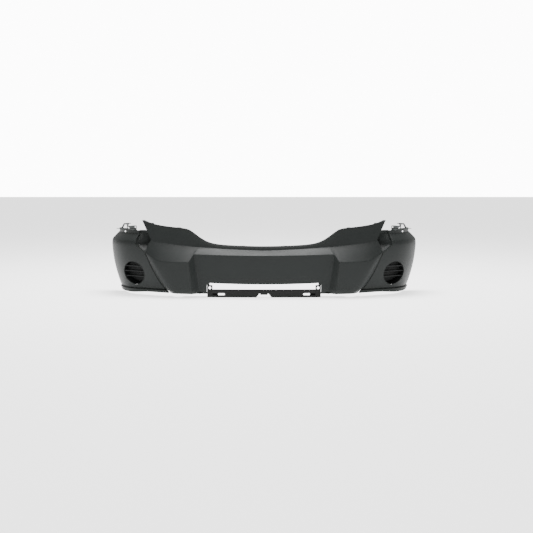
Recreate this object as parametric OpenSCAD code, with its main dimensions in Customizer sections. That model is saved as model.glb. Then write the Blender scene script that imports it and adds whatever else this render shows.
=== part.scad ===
/* [Overall] */
// Width across the two corners
overall_w = 1800; // [1500:10:2160]
// Depth from the front of the blocks to the rear edge of the shoulder line
overall_d = 430; // [358:2:516]
// Height from the bottom of the valance to the tips of the wings
overall_h = 422; // [352:1:506]
// Wall of the moulded skins
wall = 3; // [2.5:0.1:3.6]

/* [Centre fascia] */
// Height of the ledge over the recessed panel, over the bottom of the corners
panel_ledge_h = 223; // [205:1:240]
// How far the panel sits behind the blocks at its ends
panel_recess = 40; // [25:1:50]
// How far the panel bows forward at the middle
panel_bow = 16; // [0:1:20]
// Height of the top edge at the middle
top_edge_h = 271; // [262:1:290]
// Depth of the top edge behind the front at the middle
top_edge_y = 85; // [78:1:100]
// Height of the ledge on each block
block_ledge_h = 190; // [175:1:205]
// Width of the front face of each block
block_w = 168; // [140:1:200]
// Width of the sloping wall between the panel and each block
step_w = 26; // [20:1:32]
// Sweep of each block towards its outer end, as a slope
block_sweep = 0.22; // [0.1:0.01:0.3]
// Depth of the return along the top and the bottom edges
return_d = 16; // [10:1:24]

/* [Air opening] */
// Space left between each end of the opening and the edge of the panel
opening_end = 87; // [80:1:110]
// Height of the upper edge of the opening at its ends
opening_top = 72; // [68:1:90]
// How far the upper edge dips at the middle
opening_sag = 7; // [0:1:9]

/* [Corners] */
// Width of each corner from the foot of its joint line to the side
corner_w = 365; // [350:1:380]
// Depth of the corner behind the front, at the foot of the joint line
corner_front = 60; // [50:1:70]
// Slope of the corner where it meets the block
corner_sweep = 0.22; // [0.15:0.01:0.3]
// How far the face tucks in at the bottom
tuck = 62; // [30:1:75]
// Height of the shoulder line
shoulder_h = 296; // [288:1:304]
// Height of the top of the shoulder bevel
bevel_top_h = 341; // [334:1:350]
// Inset of the shoulder bevel
bevel_inset = 45; // [35:1:55]
// Height of the upright flange over the bevel
flange_h = 17; // [14:1:22]
// How far the wheel arch cuts inwards at the bottom
arch_cut = 16; // [8:1:30]
// How far the bottom lip stands out from the face
lip_out = 7; // [4:0.5:9]
// Height of the bottom lip
lip_h = 14; // [12:0.5:16]
// Depth of the headlamp pocket at the inner end of the corner
pocket_d = 32; // [20:1:40]
// Gap along the joint between the corner and the fascia
joint_gap = 3; // [2.6:0.1:4]
// Depth of the flanges that meet along the joint
joint_flange = 22; // [18:1:28]

/* [Fog lamp openings] */
// Diameter of the round opening
fog_d = 138; // [116:1:146]
// Distance from the side of the cover to the centre of the opening
fog_from_side = 166; // [158:1:174]
// Height of the centre of the opening
fog_h = 117; // [112:1:122]
// Depth of the cup of the insert
cup_d = 52; // [40:1:60]
// Wall of the insert
insert_wall = 2.5; // [2:0.1:3]
// Clearance round the cup
cup_gap = 0.6; // [0.4:0.1:1.2]
// Number of slats
slat_count = 3; // [2:1:4]
// Thickness of a slat
slat_t = 7; // [5:0.5:9]
// Depth of a slat
slat_d = 18; // [12:1:24]

/* [Lower valance] */
// How far the valance hangs below the corners
valance_drop = 8; // [4:1:12]
// Height of the band of the valance
valance_h = 42; // [36:1:48]
// How far the valance reaches past each end of the opening
valance_reach = 14; // [10:1:20]
// Depth of the valance front behind the panel front
valance_back = 8; // [4:1:14]
// Wall of the valance
valance_wall = 3; // [2.5:0.1:3.5]
// Depth of the flange under the valance
valance_foot = 40; // [30:1:50]
// Width of each slot
slot_w = 69; // [50:1:80]
// Height of each slot
slot_h = 11; // [8:0.5:13]
// Height of the notch at the middle
notch_h = 21; // [14:1:24]
// Width of the notch at the middle
notch_w = 84; // [70:1:100]
// Width of the tow tab in the notch
tow_tab_w = 40; // [30:1:48]
// Diameter of the round hole in each ear
ear_hole_d = 15; // [10:0.5:18]

/* [Fixings] */
// Diameter of the screw holes in the tabs and brackets
tab_hole_d = 7; // [6:0.5:8]
// Wall of the fixing tabs
tab_t = 3; // [2.5:0.1:4]
// Distance between the two grille tabs at the middle
grille_tab_span = 240; // [180:2:280]
// Thickness of the fender brackets
bracket_t = 2.5; // [2:0.1:3.5]
// Length of each fender bracket
bracket_l = 190; // [170:1:210]
// Diameter of the screw shanks
screw_d = 5; // [4:0.5:6]
// Diameter of the screw heads
screw_head_d = 10; // [8:0.5:12]
// Diameter of the retainer sleeves
sleeve_d = 8; // [7:0.5:9]
// Diameter of the retainer pins
pin_d = 4; // [3:0.25:4.5]
// Clearance between a pin and its sleeve, all round
pin_gap = 0.35; // [0.3:0.05:0.5]
// How far a retainer pin pulls out
pin_travel = 6; // [4:0.5:6]

/* [Hidden] */
$fn = 48;
half_w = overall_w / 2;
x_foot = half_w - corner_w;

function mix(a, b, t) = a + (b - a) * t;
function clamp(t) = min(max(t, 0), 1);
function ease(t) = clamp(t) * clamp(t) * (3 - 2 * clamp(t));

// ---- plan of the corner: a slope plus a cubic superellipse ----
plan_reach = corner_w + 10;
plan_power = 4;
function bulge(s) = 1 - pow(1 - pow(s, plan_power), 1 / plan_power);
plan_depth = (overall_d - corner_front - corner_sweep * corner_w)
    / bulge(corner_w / plan_reach);
function plan_y(x) = corner_front + corner_sweep * x
    + plan_depth * bulge(max(x, 0) / plan_reach);
function plan_slope(x) = let (s = max(x, 0) / plan_reach)
    corner_sweep + plan_depth / plan_reach * pow(s, plan_power - 1)
    * pow(1 - pow(s, plan_power), 1 / plan_power - 1);
// unit normal of the plan, pointing out
function plan_out(x) = let (m = plan_slope(x)) [m, -1] / sqrt(1 + m * m);

// the bevel leans the rear edge out past the shoulder line by this much
rear_lean = -bevel_inset * plan_out(corner_w).y;
mid_y = (overall_d + rear_lean) / 2;

tuck_power = 2;
function inset(z) = z < shoulder_h ? tuck * pow(1 - z / shoulder_h, tuck_power)
    : bevel_inset * clamp((z - shoulder_h) / (bevel_top_h - shoulder_h));
// the tuck fades towards the joint
function tuck_share(x) = mix(0.35, 1, clamp(x / 150));
// a point of the corner face, moved in by a further amount
function corner_point(x, z, more = 0) = let (n = plan_out(x),
    i = inset(z) * (z < shoulder_h ? tuck_share(x) : 1) + more)
    [x_foot + x - n.x * i, plan_y(x) - n.y * i, z];

// ---- the joint line between fascia and corner ----
joint_foot_h = 23;
joint_top_h = 235;
joint_run = 128;
joint_power = 0.62;
// heights that the rows of the fascia, the corners and the joint strips share
bottom_h = 12;
lip_top_h = bottom_h + lip_h;
joint_rows = [bottom_h + 10, lip_top_h, lip_top_h + 8, 46, 62, 85, 110, 140, 170, 200];
function joint_x(z) = z < joint_foot_h ? (z - joint_foot_h) * 0.4
    : joint_run * pow(clamp((z - joint_foot_h) / (joint_top_h - joint_foot_h)), joint_power);
// inner edge of the corner face: joint line, then the chamfer under the headlamp
chamfer_top_h = 280;
chamfer_x = 184;
function face_start(z) = z <= joint_top_h ? joint_x(z)
    : mix(joint_run, chamfer_x, clamp((z - joint_top_h) / (chamfer_top_h - joint_top_h)));
arch_power = 2;
function face_end(z) = corner_w
    - arch_cut * pow(1 - min(z, shoulder_h) / shoulder_h, arch_power);

// ---- closed skins made from a grid of points, rows upwards, columns to the right ----
function unit(v) = v / norm(v);
// sum of the unit steps into and out of a point; at an end the one step counts twice
function steps(before, here, after) = let (
    one = before == here ? unit(after - here) : unit(here - before),
    two = after == here ? one : unit(after - here)) one + two;
// the way out of the surface at a point, lengthened at a bend so that the wall keeps its thickness
function grid_out(g, i, j) = let (r = len(g) - 1, c = len(g[0]) - 1,
    along = steps(g[i][max(j - 1, 0)], g[i][j], g[i][min(j + 1, c)]),
    up = steps(g[max(i - 1, 0)][j], g[i][j], g[min(i + 1, r)][j]))
    unit(cross(along, up)) / max(norm(along) * norm(up) / 4, 0.7);
function grid_inside(g, t) = [for (i = [0:len(g) - 1]) [for (j = [0:len(g[0]) - 1])
    g[i][j] - t * grid_out(g, i, j)]];
function joined(rows) = [for (row = rows) each row];

// a slab between two depths under the surface of a grid
module slab(g, from, to) {
    rows = len(g);
    cols = len(g[0]);
    count = rows * cols;
    front = joined(grid_inside(g, from));
    back = joined(grid_inside(g, to));
    quads = [for (i = [0:rows - 2]) for (j = [0:cols - 2])
        [i * cols + j, (i + 1) * cols + j, (i + 1) * cols + j + 1, i * cols + j + 1]];
    rim = concat([for (j = [0:cols - 1]) j],
        [for (i = [1:rows - 1]) i * cols + cols - 1],
        [for (j = [cols - 2:-1:0]) (rows - 1) * cols + j],
        [for (i = [rows - 2:-1:1]) i * cols]);
    faces = concat(
        [for (q = quads) each [[q[0], q[1], q[2]], [q[0], q[2], q[3]]]],
        [for (q = quads) each [[count + q[2], count + q[1], count + q[0]],
            [count + q[3], count + q[2], count + q[0]]]],
        [for (k = [0:len(rim) - 1]) let (a = rim[k], b = rim[(k + 1) % len(rim)])
            each [[a, b, count + b], [a, count + b, count + a]]]);
    polyhedron(concat(front, back), faces);
}

// ---- corner grid ----
hem_in = 24;
column_share = [0, 0.13, 0.26, 0.38, 0.5, 0.61, 0.71, 0.8, 0.87, 0.93, 0.97, 1];
mitre = 14;
// each row is a height and how far it stands in from the face
corner_rows = [[joint_rows[0], -lip_out], [lip_top_h, -lip_out], [lip_top_h + 5, 2],
    for (k = [2:len(joint_rows) - 1]) [joint_rows[k], 0],
    for (z = [joint_top_h, mix(joint_top_h, chamfer_top_h, 0.5), chamfer_top_h]) [z, 0],
    [shoulder_h + 2, 2], [306, 0], [324, 0], [bevel_top_h, 0], [bevel_top_h + flange_h, 0]];
// the inner edge of the headlamp pocket, next to the wing
valley_keys = [[joint_top_h, 0], [254, -6], [281, -20], [306, -36], [330, -24], [357, 2]];
function valley_x(z) = x_foot + joint_run + lookup(z, valley_keys);
valley_y = 160;
// the bottom edge falls by this much towards the wheel arch
foot_fall = 8;
function corner_row(z, more, fall = 0) = let (
    start = face_start(z) + joint_gap / 2,
    end = face_end(z),
    face = [for (s = column_share) let (x = mix(start, end, s))
        corner_point(x, z - fall * ease((x - 110) / 170), more)],
    deep = z > joint_top_h ? pocket_d : joint_flange / 2,
    back = z > joint_top_h
        ? [valley_x(z) + joint_gap, mix(face[0].y + joint_flange, valley_y + 20,
            ease((z - joint_top_h) / 45)), z]
        : face[0] + [0, joint_flange, 0],
    last = face[len(face) - 1],
    n = plan_out(end))
    concat([back, face[0] + [z > joint_top_h ? -4 : 0, deep, 0]], face,
        [last - return_d * at_height(n, 0)]);
// the hem under the corner, mitred into the flanges at both ends
corner_foot = corner_row(bottom_h, -lip_out, foot_fall);
corner_cols = len(corner_foot);
function foot_out(j) = plan_out(mix(face_start(bottom_h), face_end(bottom_h), column_share[j - 2]));
function at_height(v, z) = [v.x, v.y, z];
corner_hem = let (n = foot_out(corner_cols - 2))
    [for (j = [0:corner_cols - 1])
        j < 3 ? [corner_foot[2].x + mitre, corner_foot[0].y - j, corner_foot[j].z]
        : j < corner_cols - 2 ? corner_foot[j] - hem_in * at_height(foot_out(j), 0)
        : corner_foot[corner_cols - 2] - (return_d - (j == corner_cols - 2 ? 3 : 0))
            * at_height(n, 0) + (j == corner_cols - 2 ? mitre : mitre - 2) * [n.y, -n.x, 0]];
corner_grid = concat([corner_hem, corner_foot], [for (r = corner_rows) corner_row(r[0], r[1])]);

// ---- centre fascia grid ----
panel_half = x_foot - block_w + 21;
panel_lean = 33;
block_in = panel_half + step_w;
block_lean = 17;
panel_share = [0, 0.28, 0.58, 0.72, 0.83, 0.94, 1];
block_share = [0, 0.14, 0.54, 1];
panel_front = panel_recess - panel_bow;
function panel_edge(z) = panel_half - panel_lean * (1 - z / panel_ledge_h);
function block_edge(z) = block_in - block_lean * (1 - z / block_ledge_h);
function shoulder_w(z) = mix(38, 60, ease((z - 150) / 43));
function block_end(z) = x_foot + joint_x(z) - shoulder_w(z);
function panel_y(x) = panel_front + panel_bow * pow(x / panel_half, 2);
function block_y(x) = block_sweep * max(x - block_edge(0), 0);
function joint_point(z, more = 0) = corner_point(joint_x(z) - joint_gap / 2, z, more);

// ledge heights along the panel and the block, by share of each
function panel_ledge_z(s) = panel_ledge_h + 7 * s * s;
function block_ledge_z(s) = block_ledge_h + 3 * s - 4 * sin(180 * s);
shoulder_ledge_z = 213;
// rows keep the joint's heights below the base, and squeeze in under the ledge above it
base_h = 46;
function squeeze(z, top) = z <= base_h ? z
    : mix(base_h, top, (z - base_h) / (joint_top_h - base_h));
// one row of the lower face: a height at the joint and how far it is set back
function lower_row(z, back) = let (far = block_end(squeeze(z, block_ledge_z(1))),
    knee_z = squeeze(z, shoulder_ledge_z), end = joint_point(z))
    concat([for (s = panel_share) let (h = squeeze(z, panel_ledge_z(s)), x = s * panel_edge(h))
            [x, panel_y(x) + back, h]],
        [for (s = block_share) let (h = squeeze(z, block_ledge_z(s)),
            x = mix(block_edge(h), far, s)) [x, block_y(x) + back, h]],
        [[mix(far, end.x, 0.5), mix(block_y(far), end.y, 0.42) + back, knee_z],
            end + [0, back, 0], end + [0, back + joint_flange, 0]]);
ledge_row = let (end = joint_point(joint_top_h), far = block_end(block_ledge_z(1)))
    concat([for (s = panel_share) [s * panel_half, panel_y(s * panel_half),
        panel_ledge_z(s)]],
        [for (s = block_share) let (x = mix(block_in, far, s))
            [x, block_y(x), block_ledge_z(s)]],
        [[mix(far, end.x, 0.5), mix(block_y(far), end.y, 0.55), shoulder_ledge_z],
            end, end + [0, joint_flange, 0]]);

// the crease under the wing and the top edge, as [share of the way out, depth, height]
wing_out = 128;
crease_out = 99;
crease_keys = [[0, -13, 0], [0.35, -7, 10], [0.57, 3, 20], [0.7, 13, 28], [0.84, 23, 38],
    [0.93, 33, 46], [1, 45, 57]];
crease_h = top_edge_h - 24;
// the tips of the wings, over the bottom of the corners
tip_h = overall_h - valance_drop;
crease_x = x_foot + crease_out;
top_keys = [[0, 0, 0], [0.163, 2, 0.017], [0.326, 5, 0.055], [0.407, 10, 0.103],
    [0.471, 15, 0.193], [0.529, 20, 0.37], [0.561, 23, 0.492], [0.595, 25, 0.615],
    [0.635, 30, 0.695], [0.734, 40, 0.735], [0.859, 55, 0.807], [0.946, 65, 0.917], [1, 80, 1]];
tip_x = x_foot + wing_out + 24;
function along(keys, s, k) = lookup(s, [for (e = keys) [e[0], e[k]]]);
function upper_share(j) = let (p = panel_half / tip_x, b = block_in / tip_x)
    j < 7 ? panel_share[j] * p : j < 11 ? mix(b, 0.86, block_share[j - 7])
    : j == 11 ? 0.93 : 1;
function crease_point(j) = let (s = upper_share(j))
    [s * crease_x, top_edge_y + along(crease_keys, s, 1), crease_h + along(crease_keys, s, 2)];
function top_point(j) = let (s = upper_share(j))
    [s * tip_x, top_edge_y + along(top_keys, s, 1),
        mix(top_edge_h, tip_h, along(top_keys, s, 2))];
function with_flange(row) = concat(row, [row[12] + [0, joint_flange, 0]]);
crease_row = with_flange([for (j = [0:12]) crease_point(j)]);
top_row = with_flange([for (j = [0:12]) top_point(j)]);
function between(a, b, t, push) = [for (j = [0:len(a) - 1]) mix(a[j], b[j], t) + push];
slope_row = [for (j = [0:13]) mix(ledge_row[j], crease_row[j], 0.5)
    + (j > 11 ? [8, 0, 0] : [0, -2, 1])];
// a return behind a row, mitred into the flange at its end
function return_row(row, deep) = [for (j = [0:13]) row[j] + (j < 12 ? [0, deep, 0]
    : j == 12 ? [-mitre, joint_flange - 6, 0] : [-mitre, 0, 0])];
half_rows = [return_row(lower_row(bottom_h, 12), hem_in + 10), lower_row(bottom_h, 12),
    for (z = joint_rows) lower_row(z, 12 * pow(1 - clamp((z - bottom_h) / 22), 2)),
    ledge_row, slope_row, crease_row, between(crease_row, top_row, 0.5, [0, -2, 0]),
    top_row, return_row(top_row, return_d)];
fascia_grid = [for (r = half_rows)
    concat([for (j = [13:-1:1]) [-r[j].x, r[j].y, r[j].z]], r)];

// ---- tabs along the top edge ----
// each tab is [x, half of its width]; its height follows the top edge
function top_at(x) = let (s = x / tip_x) [x, top_edge_y + along(top_keys, s, 1),
    mix(top_edge_h, tip_h, along(top_keys, s, 2))];
tab_w = 28;
tab_l = 42;
tab_drop = 0.5;
tab_end = 13;
root_h = 12;
root_d = 10;
wing_tabs_x = [half_w - 420, half_w - 265];
tabs_x = concat([grille_tab_span / 2], wing_tabs_x);
// the root of a tab sinks into the skin, and its plate carries the hole
module at_tab(x) {
    translate(top_at(x) + [0, x < panel_half ? -1.6 : 0.8, -tab_drop])
        children();
}
module tab(x) {
    at_tab(x) {
        translate([-tab_w / 2, 0, -root_h])
            cube([tab_w, root_d, root_h]);
        translate([-tab_w / 2, 0, -tab_t])
            cube([tab_w, tab_l, tab_t]);
    }
}
module tab_bore(x, d) {
    at_tab(x)
        translate([0, tab_l - tab_end, -root_h])
            cylinder(d = d, h = 60);
}

module at_origin() {
    translate([0, -mid_y, valance_drop])
        children();
}
module on_left() {
    mirror([1, 0, 0])
        children();
}

// ---- pads and bores for the retainers under the blocks ----
retainer_inset = [26, 96];
retainers_x = [for (i = retainer_inset) x_foot - 80 - i];
retainer_y = 84;
pad_t = 3;
pad_z = bottom_h;
sleeve_bore_d = sleeve_d + 0.2;
module retainer_pads() {
    for (side = [-1, 1])
        translate([side > 0 ? retainers_x[1] - 18 : -retainers_x[0] - 18, 38, pad_z + 0.4])
            cube([retainers_x[0] - retainers_x[1] + 36, 62, pad_t]);
}
module retainer_bores(d) {
    for (side = [-1, 1], x = retainers_x)
        translate([side * x, retainer_y, -5])
            cylinder(d = d, h = 40);
}

// ---- screws through the joint flanges ----
joint_screws_h = [50, 105, 160, 215];
module at_joint(z) {
    p = corner_point(joint_x(z), z);
    q = corner_point(joint_x(z + 8), z + 8);
    lean = atan2(q.x - p.x, q.z - p.z);
    translate([p.x, p.y + joint_flange * 0.62, z])
        rotate([0, lean, 0])
            children();
}
module joint_bores(d) {
    for (z = joint_screws_h)
        at_joint(z)
            rotate([0, 90, 0])
                cylinder(d = d, h = 36, center = true);
}

opening_half = panel_half - opening_end;
valance_half = opening_half + valance_reach;
valance_gap = 0.8;
ear_top = 60;
module air_opening() {
    rotate([90, 0, 0])
        linear_extrude(240, center = true)
            polygon(concat([[opening_half, -20], [-opening_half, -20]],
                [for (s = [-1:0.125:1]) [s * opening_half, opening_top - opening_sag * (1 - s * s)]]));
    translate([-valance_half - valance_gap, -60, -20])
        cube([2 * (valance_half + valance_gap), 180, ear_top + valance_gap + 20]);
}
module centre_fascia() color("#3f4443") at_origin() {
    difference() {
        union() {
            slab(fascia_grid, 0, wall);
            for (x = tabs_x) {
                tab(x);
                on_left()
                    tab(x);
            }
            retainer_pads();
        }
        air_opening();
        for (x = tabs_x) {
            tab_bore(x, tab_hole_d);
            on_left()
                tab_bore(x, tab_hole_d);
        }
        retainer_bores(sleeve_bore_d);
        joint_bores(screw_d + 0.4);
        on_left()
            joint_bores(screw_d + 0.4);
    }
}

// ---- fog lamp frame: local -Y points out of the face ----
fog_x = corner_w - fog_from_side;
fog_yaw = atan(plan_slope(fog_x));
fog_pitch = atan(tuck * tuck_power / shoulder_h
    * pow(1 - fog_h / shoulder_h, tuck_power - 1));
module at_fog() {
    translate(corner_point(fog_x + inset(fog_h) * 0.5, fog_h))
        rotate([fog_pitch, 0, fog_yaw])
            children();
}
module inward(d, from, to) {
    translate([0, from, 0])
        rotate([-90, 0, 0])
            cylinder(d = d, h = to - from);
}
boss_d = 12;
boss_ring = fog_d / 2 + 13;
boss_end = 24;
boss_angles = [90, 210, 330];
module at_bosses() {
    for (a = boss_angles)
        translate([boss_ring * cos(a), 0, boss_ring * sin(a)])
            children();
}

// ---- seat for the fender bracket ----
seat_z = bevel_top_h + flange_h;
seat_from = 225;
seat_to = 325;
seat_yaw = atan2(plan_y(seat_to) - plan_y(seat_from), seat_to - seat_from);
seat_at = corner_point(seat_from, seat_z, 0);
seat_w = 30;
seat_l = 150;
module at_seat() {
    translate([seat_at.x, seat_at.y, seat_z])
        rotate([0, 0, seat_yaw])
            children();
}
bracket_screws_at = [30, 120];
slot_hole_w = 23;
slot_hole_h = 9;

// ---- holes for the wheel liner in the flange along the wheel arch ----
liner_holes_h = [90, 215];
module liner_bores(d) {
    for (z = liner_holes_h) {
        p = corner_point(face_end(z), z, return_d / 2 + 2);
        translate([p.x, p.y, z])
            rotate([90, 0, 0])
                cylinder(d = d, h = 12, center = true);
    }
}

module corner_right() color("#414645") at_origin() {
    difference() {
        union() {
            slab(corner_grid, 0, wall);
            intersection() {
                slab(corner_grid, 1, 40);
                at_fog()
                    at_bosses()
                        inward(boss_d, -20, boss_end);
            }
            at_seat()
                translate([4, -4, -tab_t])
                    cube([seat_l, seat_w, tab_t]);
        }
        at_fog() {
            inward(fog_d, -40, 45);
            at_bosses()
                inward(screw_d - 1, 8, boss_end + 5);
        }
        joint_bores(screw_d + 0.4);
        liner_bores(tab_hole_d);
        at_seat() {
            for (s = bracket_screws_at)
                translate([s, seat_w / 2 - 4, -20])
                    cylinder(d = screw_d - 1, h = 40);
            translate([seat_l / 2 + 4, 0, -flange_h / 2 - 1])
                rotate([90, 0, 0])
                    linear_extrude(60, center = true)
                        slot_outline(slot_hole_w, slot_hole_h);
        }
    }
}
module corner_left() {
    on_left()
        corner_right();
}
module slot_outline(w, h) {
    for (side = [-1, 1])
        translate([side * (w - h) / 2, 0])
            circle(d = h);
    square([w - h, h], center = true);
}

// ---- fog lamp insert: cup, ring flange and slats in one moulding ----
cup_front = 8;
ring_t = insert_wall;
slat_gap = 0.86 * fog_d / (slat_count + 1);
slat_lift = 10;
module fog_insert_right() color("#1c1e1f") at_origin() at_fog() {
    outer = fog_d - 2 * cup_gap;
    difference() {
        union() {
            inward(outer, cup_front, cup_d);
            inward(outer + 14, boss_end, boss_end + ring_t);
            at_bosses()
                inward(boss_d + 4, boss_end, boss_end + ring_t);
        }
        inward(outer - 2 * insert_wall, cup_front - 5, cup_d - insert_wall);
        at_bosses()
            inward(screw_d + 0.4, boss_end - 5, boss_end + ring_t + 5);
    }
    intersection() {
        inward(outer - 1, cup_front, cup_d);
        for (k = [0:slat_count - 1])
            translate([0, cup_front + 4 + slat_d / 2,
                    (k - (slat_count - 1) / 2) * slat_gap + slat_lift])
                cube([fog_d, slat_d, slat_t], center = true);
    }
}
module fog_insert_left() {
    on_left()
        fog_insert_right();
}
screw_head_h = 3;
module screw(l) {
    cylinder(d = screw_head_d, h = screw_head_h);
    translate([0, 0, -l])
        cylinder(d = screw_d - 1, h = l);
}
module fog_screws_right() color("#2a2c2e") at_origin() at_fog() at_bosses()
    translate([0, boss_end + ring_t, 0])
        rotate([-90, 0, 0])
            screw(14);
module fog_screws_left() {
    on_left()
        fog_screws_right();
}

// ---- joint strip: a tongue held between the two flanges ----
strip_t = joint_gap - 0.4;
strip_d = joint_flange - 4;
strip_rows = concat([for (k = [2:len(joint_rows) - 1]) joint_rows[k]], [joint_top_h - 4]);
function strip_ring(z) = let (p = corner_point(joint_x(z), z))
    [for (c = [[-1, 0], [1, 0], [1, 1], [-1, 1]])
        [p.x + c.x * strip_t / 2, p.y + 3 + c.y * strip_d, z]];
module joint_strip_right() color("#232526") at_origin() {
    points = [for (z = strip_rows) each strip_ring(z)];
    last = len(points) - 4;
    sides = [for (k = [0:len(strip_rows) - 2], c = [0:3]) let (a = 4 * k + c,
        b = 4 * k + (c + 1) % 4) each [[a, a + 4, b], [b, a + 4, b + 4]]];
    difference() {
        polyhedron(points, concat([[0, 1, 2], [0, 2, 3],
            [last + 3, last + 2, last + 1], [last + 3, last + 1, last]], sides));
        joint_bores(screw_d + 0.4);
    }
}
module joint_strip_left() {
    on_left()
        joint_strip_right();
}
screw_grip = joint_gap / 2 + wall + 1.2;
module joint_screws_right() color("#8d9193") at_origin() {
    for (z = joint_screws_h)
        at_joint(z)
            rotate([0, 90, 0]) {
                cylinder(d = screw_d, h = 2 * screw_grip + 4, center = true);
                translate([0, 0, -screw_grip - 2 - screw_head_h])
                    cylinder(d = screw_head_d, h = screw_head_h);
                translate([0, 0, screw_grip])
                    cylinder(d = screw_head_d, h = screw_head_h, $fn = 6);
            }
}
module joint_screws_left() {
    on_left()
        joint_screws_right();
}

// ---- fender bracket: a windowed upright on a foot ----
bracket_h = 34;
clip_at = 118;
clip_tab_y = seat_w - 11;
clip_tab_l = 26;
clip_tab_end = 11;
module fender_bracket_right() color("#70767a") at_origin() at_seat() {
    difference() {
        union() {
            translate([2, -2, 0])
                cube([bracket_l, seat_w - 6, bracket_t]);
            translate([2, seat_w - 10, 0])
                rotate([90, 0, 0])
                    linear_extrude(bracket_t, center = true)
                        bracket_outline();
            translate([clip_at - 16, clip_tab_y, bracket_h - bracket_t])
                cube([32, clip_tab_l, bracket_t]);
        }
        for (s = bracket_screws_at)
            translate([s, seat_w / 2 - 4, -5])
                cylinder(d = screw_d + 0.4, h = 20);
        translate([clip_at, clip_tab_y + clip_tab_l - clip_tab_end, bracket_h - 10])
            cylinder(d = tab_hole_d, h = 20);
    }
}
module bracket_outline() {
    difference() {
        polygon([[0, 0], [0, 25], [26, 25], [clip_at - 30, 20], [clip_at - 20, bracket_h],
            [clip_at + 20, bracket_h], [bracket_l - 24, 9], [bracket_l, 7], [bracket_l, 0]]);
        translate([6, 12])
            square([14, 8]);
        polygon([[clip_at - 46, 6], [clip_at - 20, 6], [clip_at - 20, 17]]);
        polygon([[clip_at - 12, 6], [clip_at + 32, 6], [clip_at + 14, 26], [clip_at - 12, 26]]);
    }
}
module fender_bracket_left() {
    on_left()
        fender_bracket_right();
}
module bracket_screws_right() color("#2a2c2e") at_origin() at_seat() {
    for (s = bracket_screws_at)
        translate([s, seat_w / 2 - 4, bracket_t])
            screw(14);
}
module bracket_screws_left() {
    on_left()
        bracket_screws_right();
}

// ---- clip nuts: a folded spring-steel leaf with a threaded barrel under it ----
clip_t = 1;
clip_front = 8;
clip_w = 16;
barrel_d = 10;
barrel_h = 6;
// held is the wall that it grips, reach the distance from its bore to the free edge
module clip_nut(held, reach, bore) {
    difference() {
        union() {
            for (z = [0, -held - clip_t])
                translate([-clip_w / 2, -clip_front, z])
                    cube([clip_w, clip_front + reach + clip_t, clip_t]);
            translate([-clip_w / 2, reach, -held - clip_t])
                cube([clip_w, clip_t, held + 2 * clip_t]);
            translate([0, 0, -held - clip_t - barrel_h])
                cylinder(d = barrel_d, h = barrel_h + 0.1);
        }
        translate([0, 0, -held - barrel_h - 5])
            cylinder(d = bore, h = held + barrel_h + 12);
    }
}
module bracket_clip_right() color("#3b3d3e") at_origin() at_seat()
    translate([clip_at, clip_tab_y + clip_tab_l - clip_tab_end, bracket_h])
        clip_nut(bracket_t, clip_tab_end, screw_d);
module bracket_clip_left() {
    on_left()
        bracket_clip_right();
}
module wing_clip_nuts_right() color("#9a9da0") at_origin() {
    for (x = wing_tabs_x)
        at_tab(x)
            translate([0, tab_l - tab_end, 0])
                clip_nut(tab_t, tab_end, screw_d);
}
module wing_clip_nuts_left() {
    on_left()
        wing_clip_nuts_right();
}

// ---- lower valance ----
valance_steps = 16;
function valance_y(x) = panel_y(x) + valance_back;
function valance_line(w, back) = [for (k = [0:valance_steps])
    let (x = mix(-w, w, k / valance_steps)) [x, valance_y(x) + back]];
function reversed(v) = [for (k = [len(v) - 1:-1:0]) v[k]];
module valance_band(w, deep) {
    polygon(concat(valance_line(w, 0), reversed(valance_line(w, deep))));
}
slot_z = 17.5;
slot_from_end = 29;
ear_w = 30;
ear_hole_z = 52.5;
wing_plate_z = pad_z - valance_wall;
ear_h = ear_top + valance_drop;
plate_up = wing_plate_z + valance_drop;
wing_plate_x = retainers_x[0] + 20;
module lower_valance() color("#222525") at_origin() translate([0, 0, -valance_drop]) {
    difference() {
        union() {
            linear_extrude(valance_h)
                valance_band(valance_half, valance_wall);
            linear_extrude(valance_wall)
                valance_band(valance_half, valance_foot);
            translate([0, 0, valance_h - valance_wall])
                linear_extrude(valance_wall)
                    valance_band(valance_half - ear_w, 26);
            for (side = [-1, 1])
                intersection() {
                    linear_extrude(ear_h)
                        valance_band(valance_half, valance_wall);
                    translate([side > 0 ? valance_half - ear_w : -valance_half, 0, 0])
                        cube([ear_w, 200, ear_h]);
                }
            for (side = [-1, 1]) {
                translate([side > 0 ? valance_half - 60 : -wing_plate_x, 62, plate_up])
                    cube([wing_plate_x - valance_half + 60, 38, valance_wall]);
                translate([side > 0 ? valance_half - 60 : -valance_half + 10, 62, 0])
                    cube([50, valance_wall, plate_up + valance_wall]);
            }
        }
        for (side = [-1, 1]) {
            translate([side * (valance_half - slot_from_end - slot_w / 2), 0, slot_z])
                rotate([90, 0, 0])
                    linear_extrude(400, center = true)
                        slot_outline(slot_w, slot_h);
            translate([side * (valance_half - ear_w / 2), 0, ear_hole_z])
                rotate([-90, 0, 0])
                    cylinder(d = ear_hole_d, h = 200);
        }
        rotate([90, 0, 0])
            linear_extrude(400, center = true)
                notch_outline();
        translate([0, 0, valance_drop])
            retainer_bores(sleeve_bore_d);
    }
}
module notch_outline() {
    difference() {
        polygon([[-notch_w / 2, -1], [notch_w / 2, -1], [notch_w / 2 - 10, 12],
            [notch_w / 2 - 16, notch_h], [-notch_w / 2 + 16, notch_h], [-notch_w / 2 + 10, 12]]);
        translate([-tow_tab_w / 2, 14])
            square([tow_tab_w, 20]);
    }
}

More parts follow.
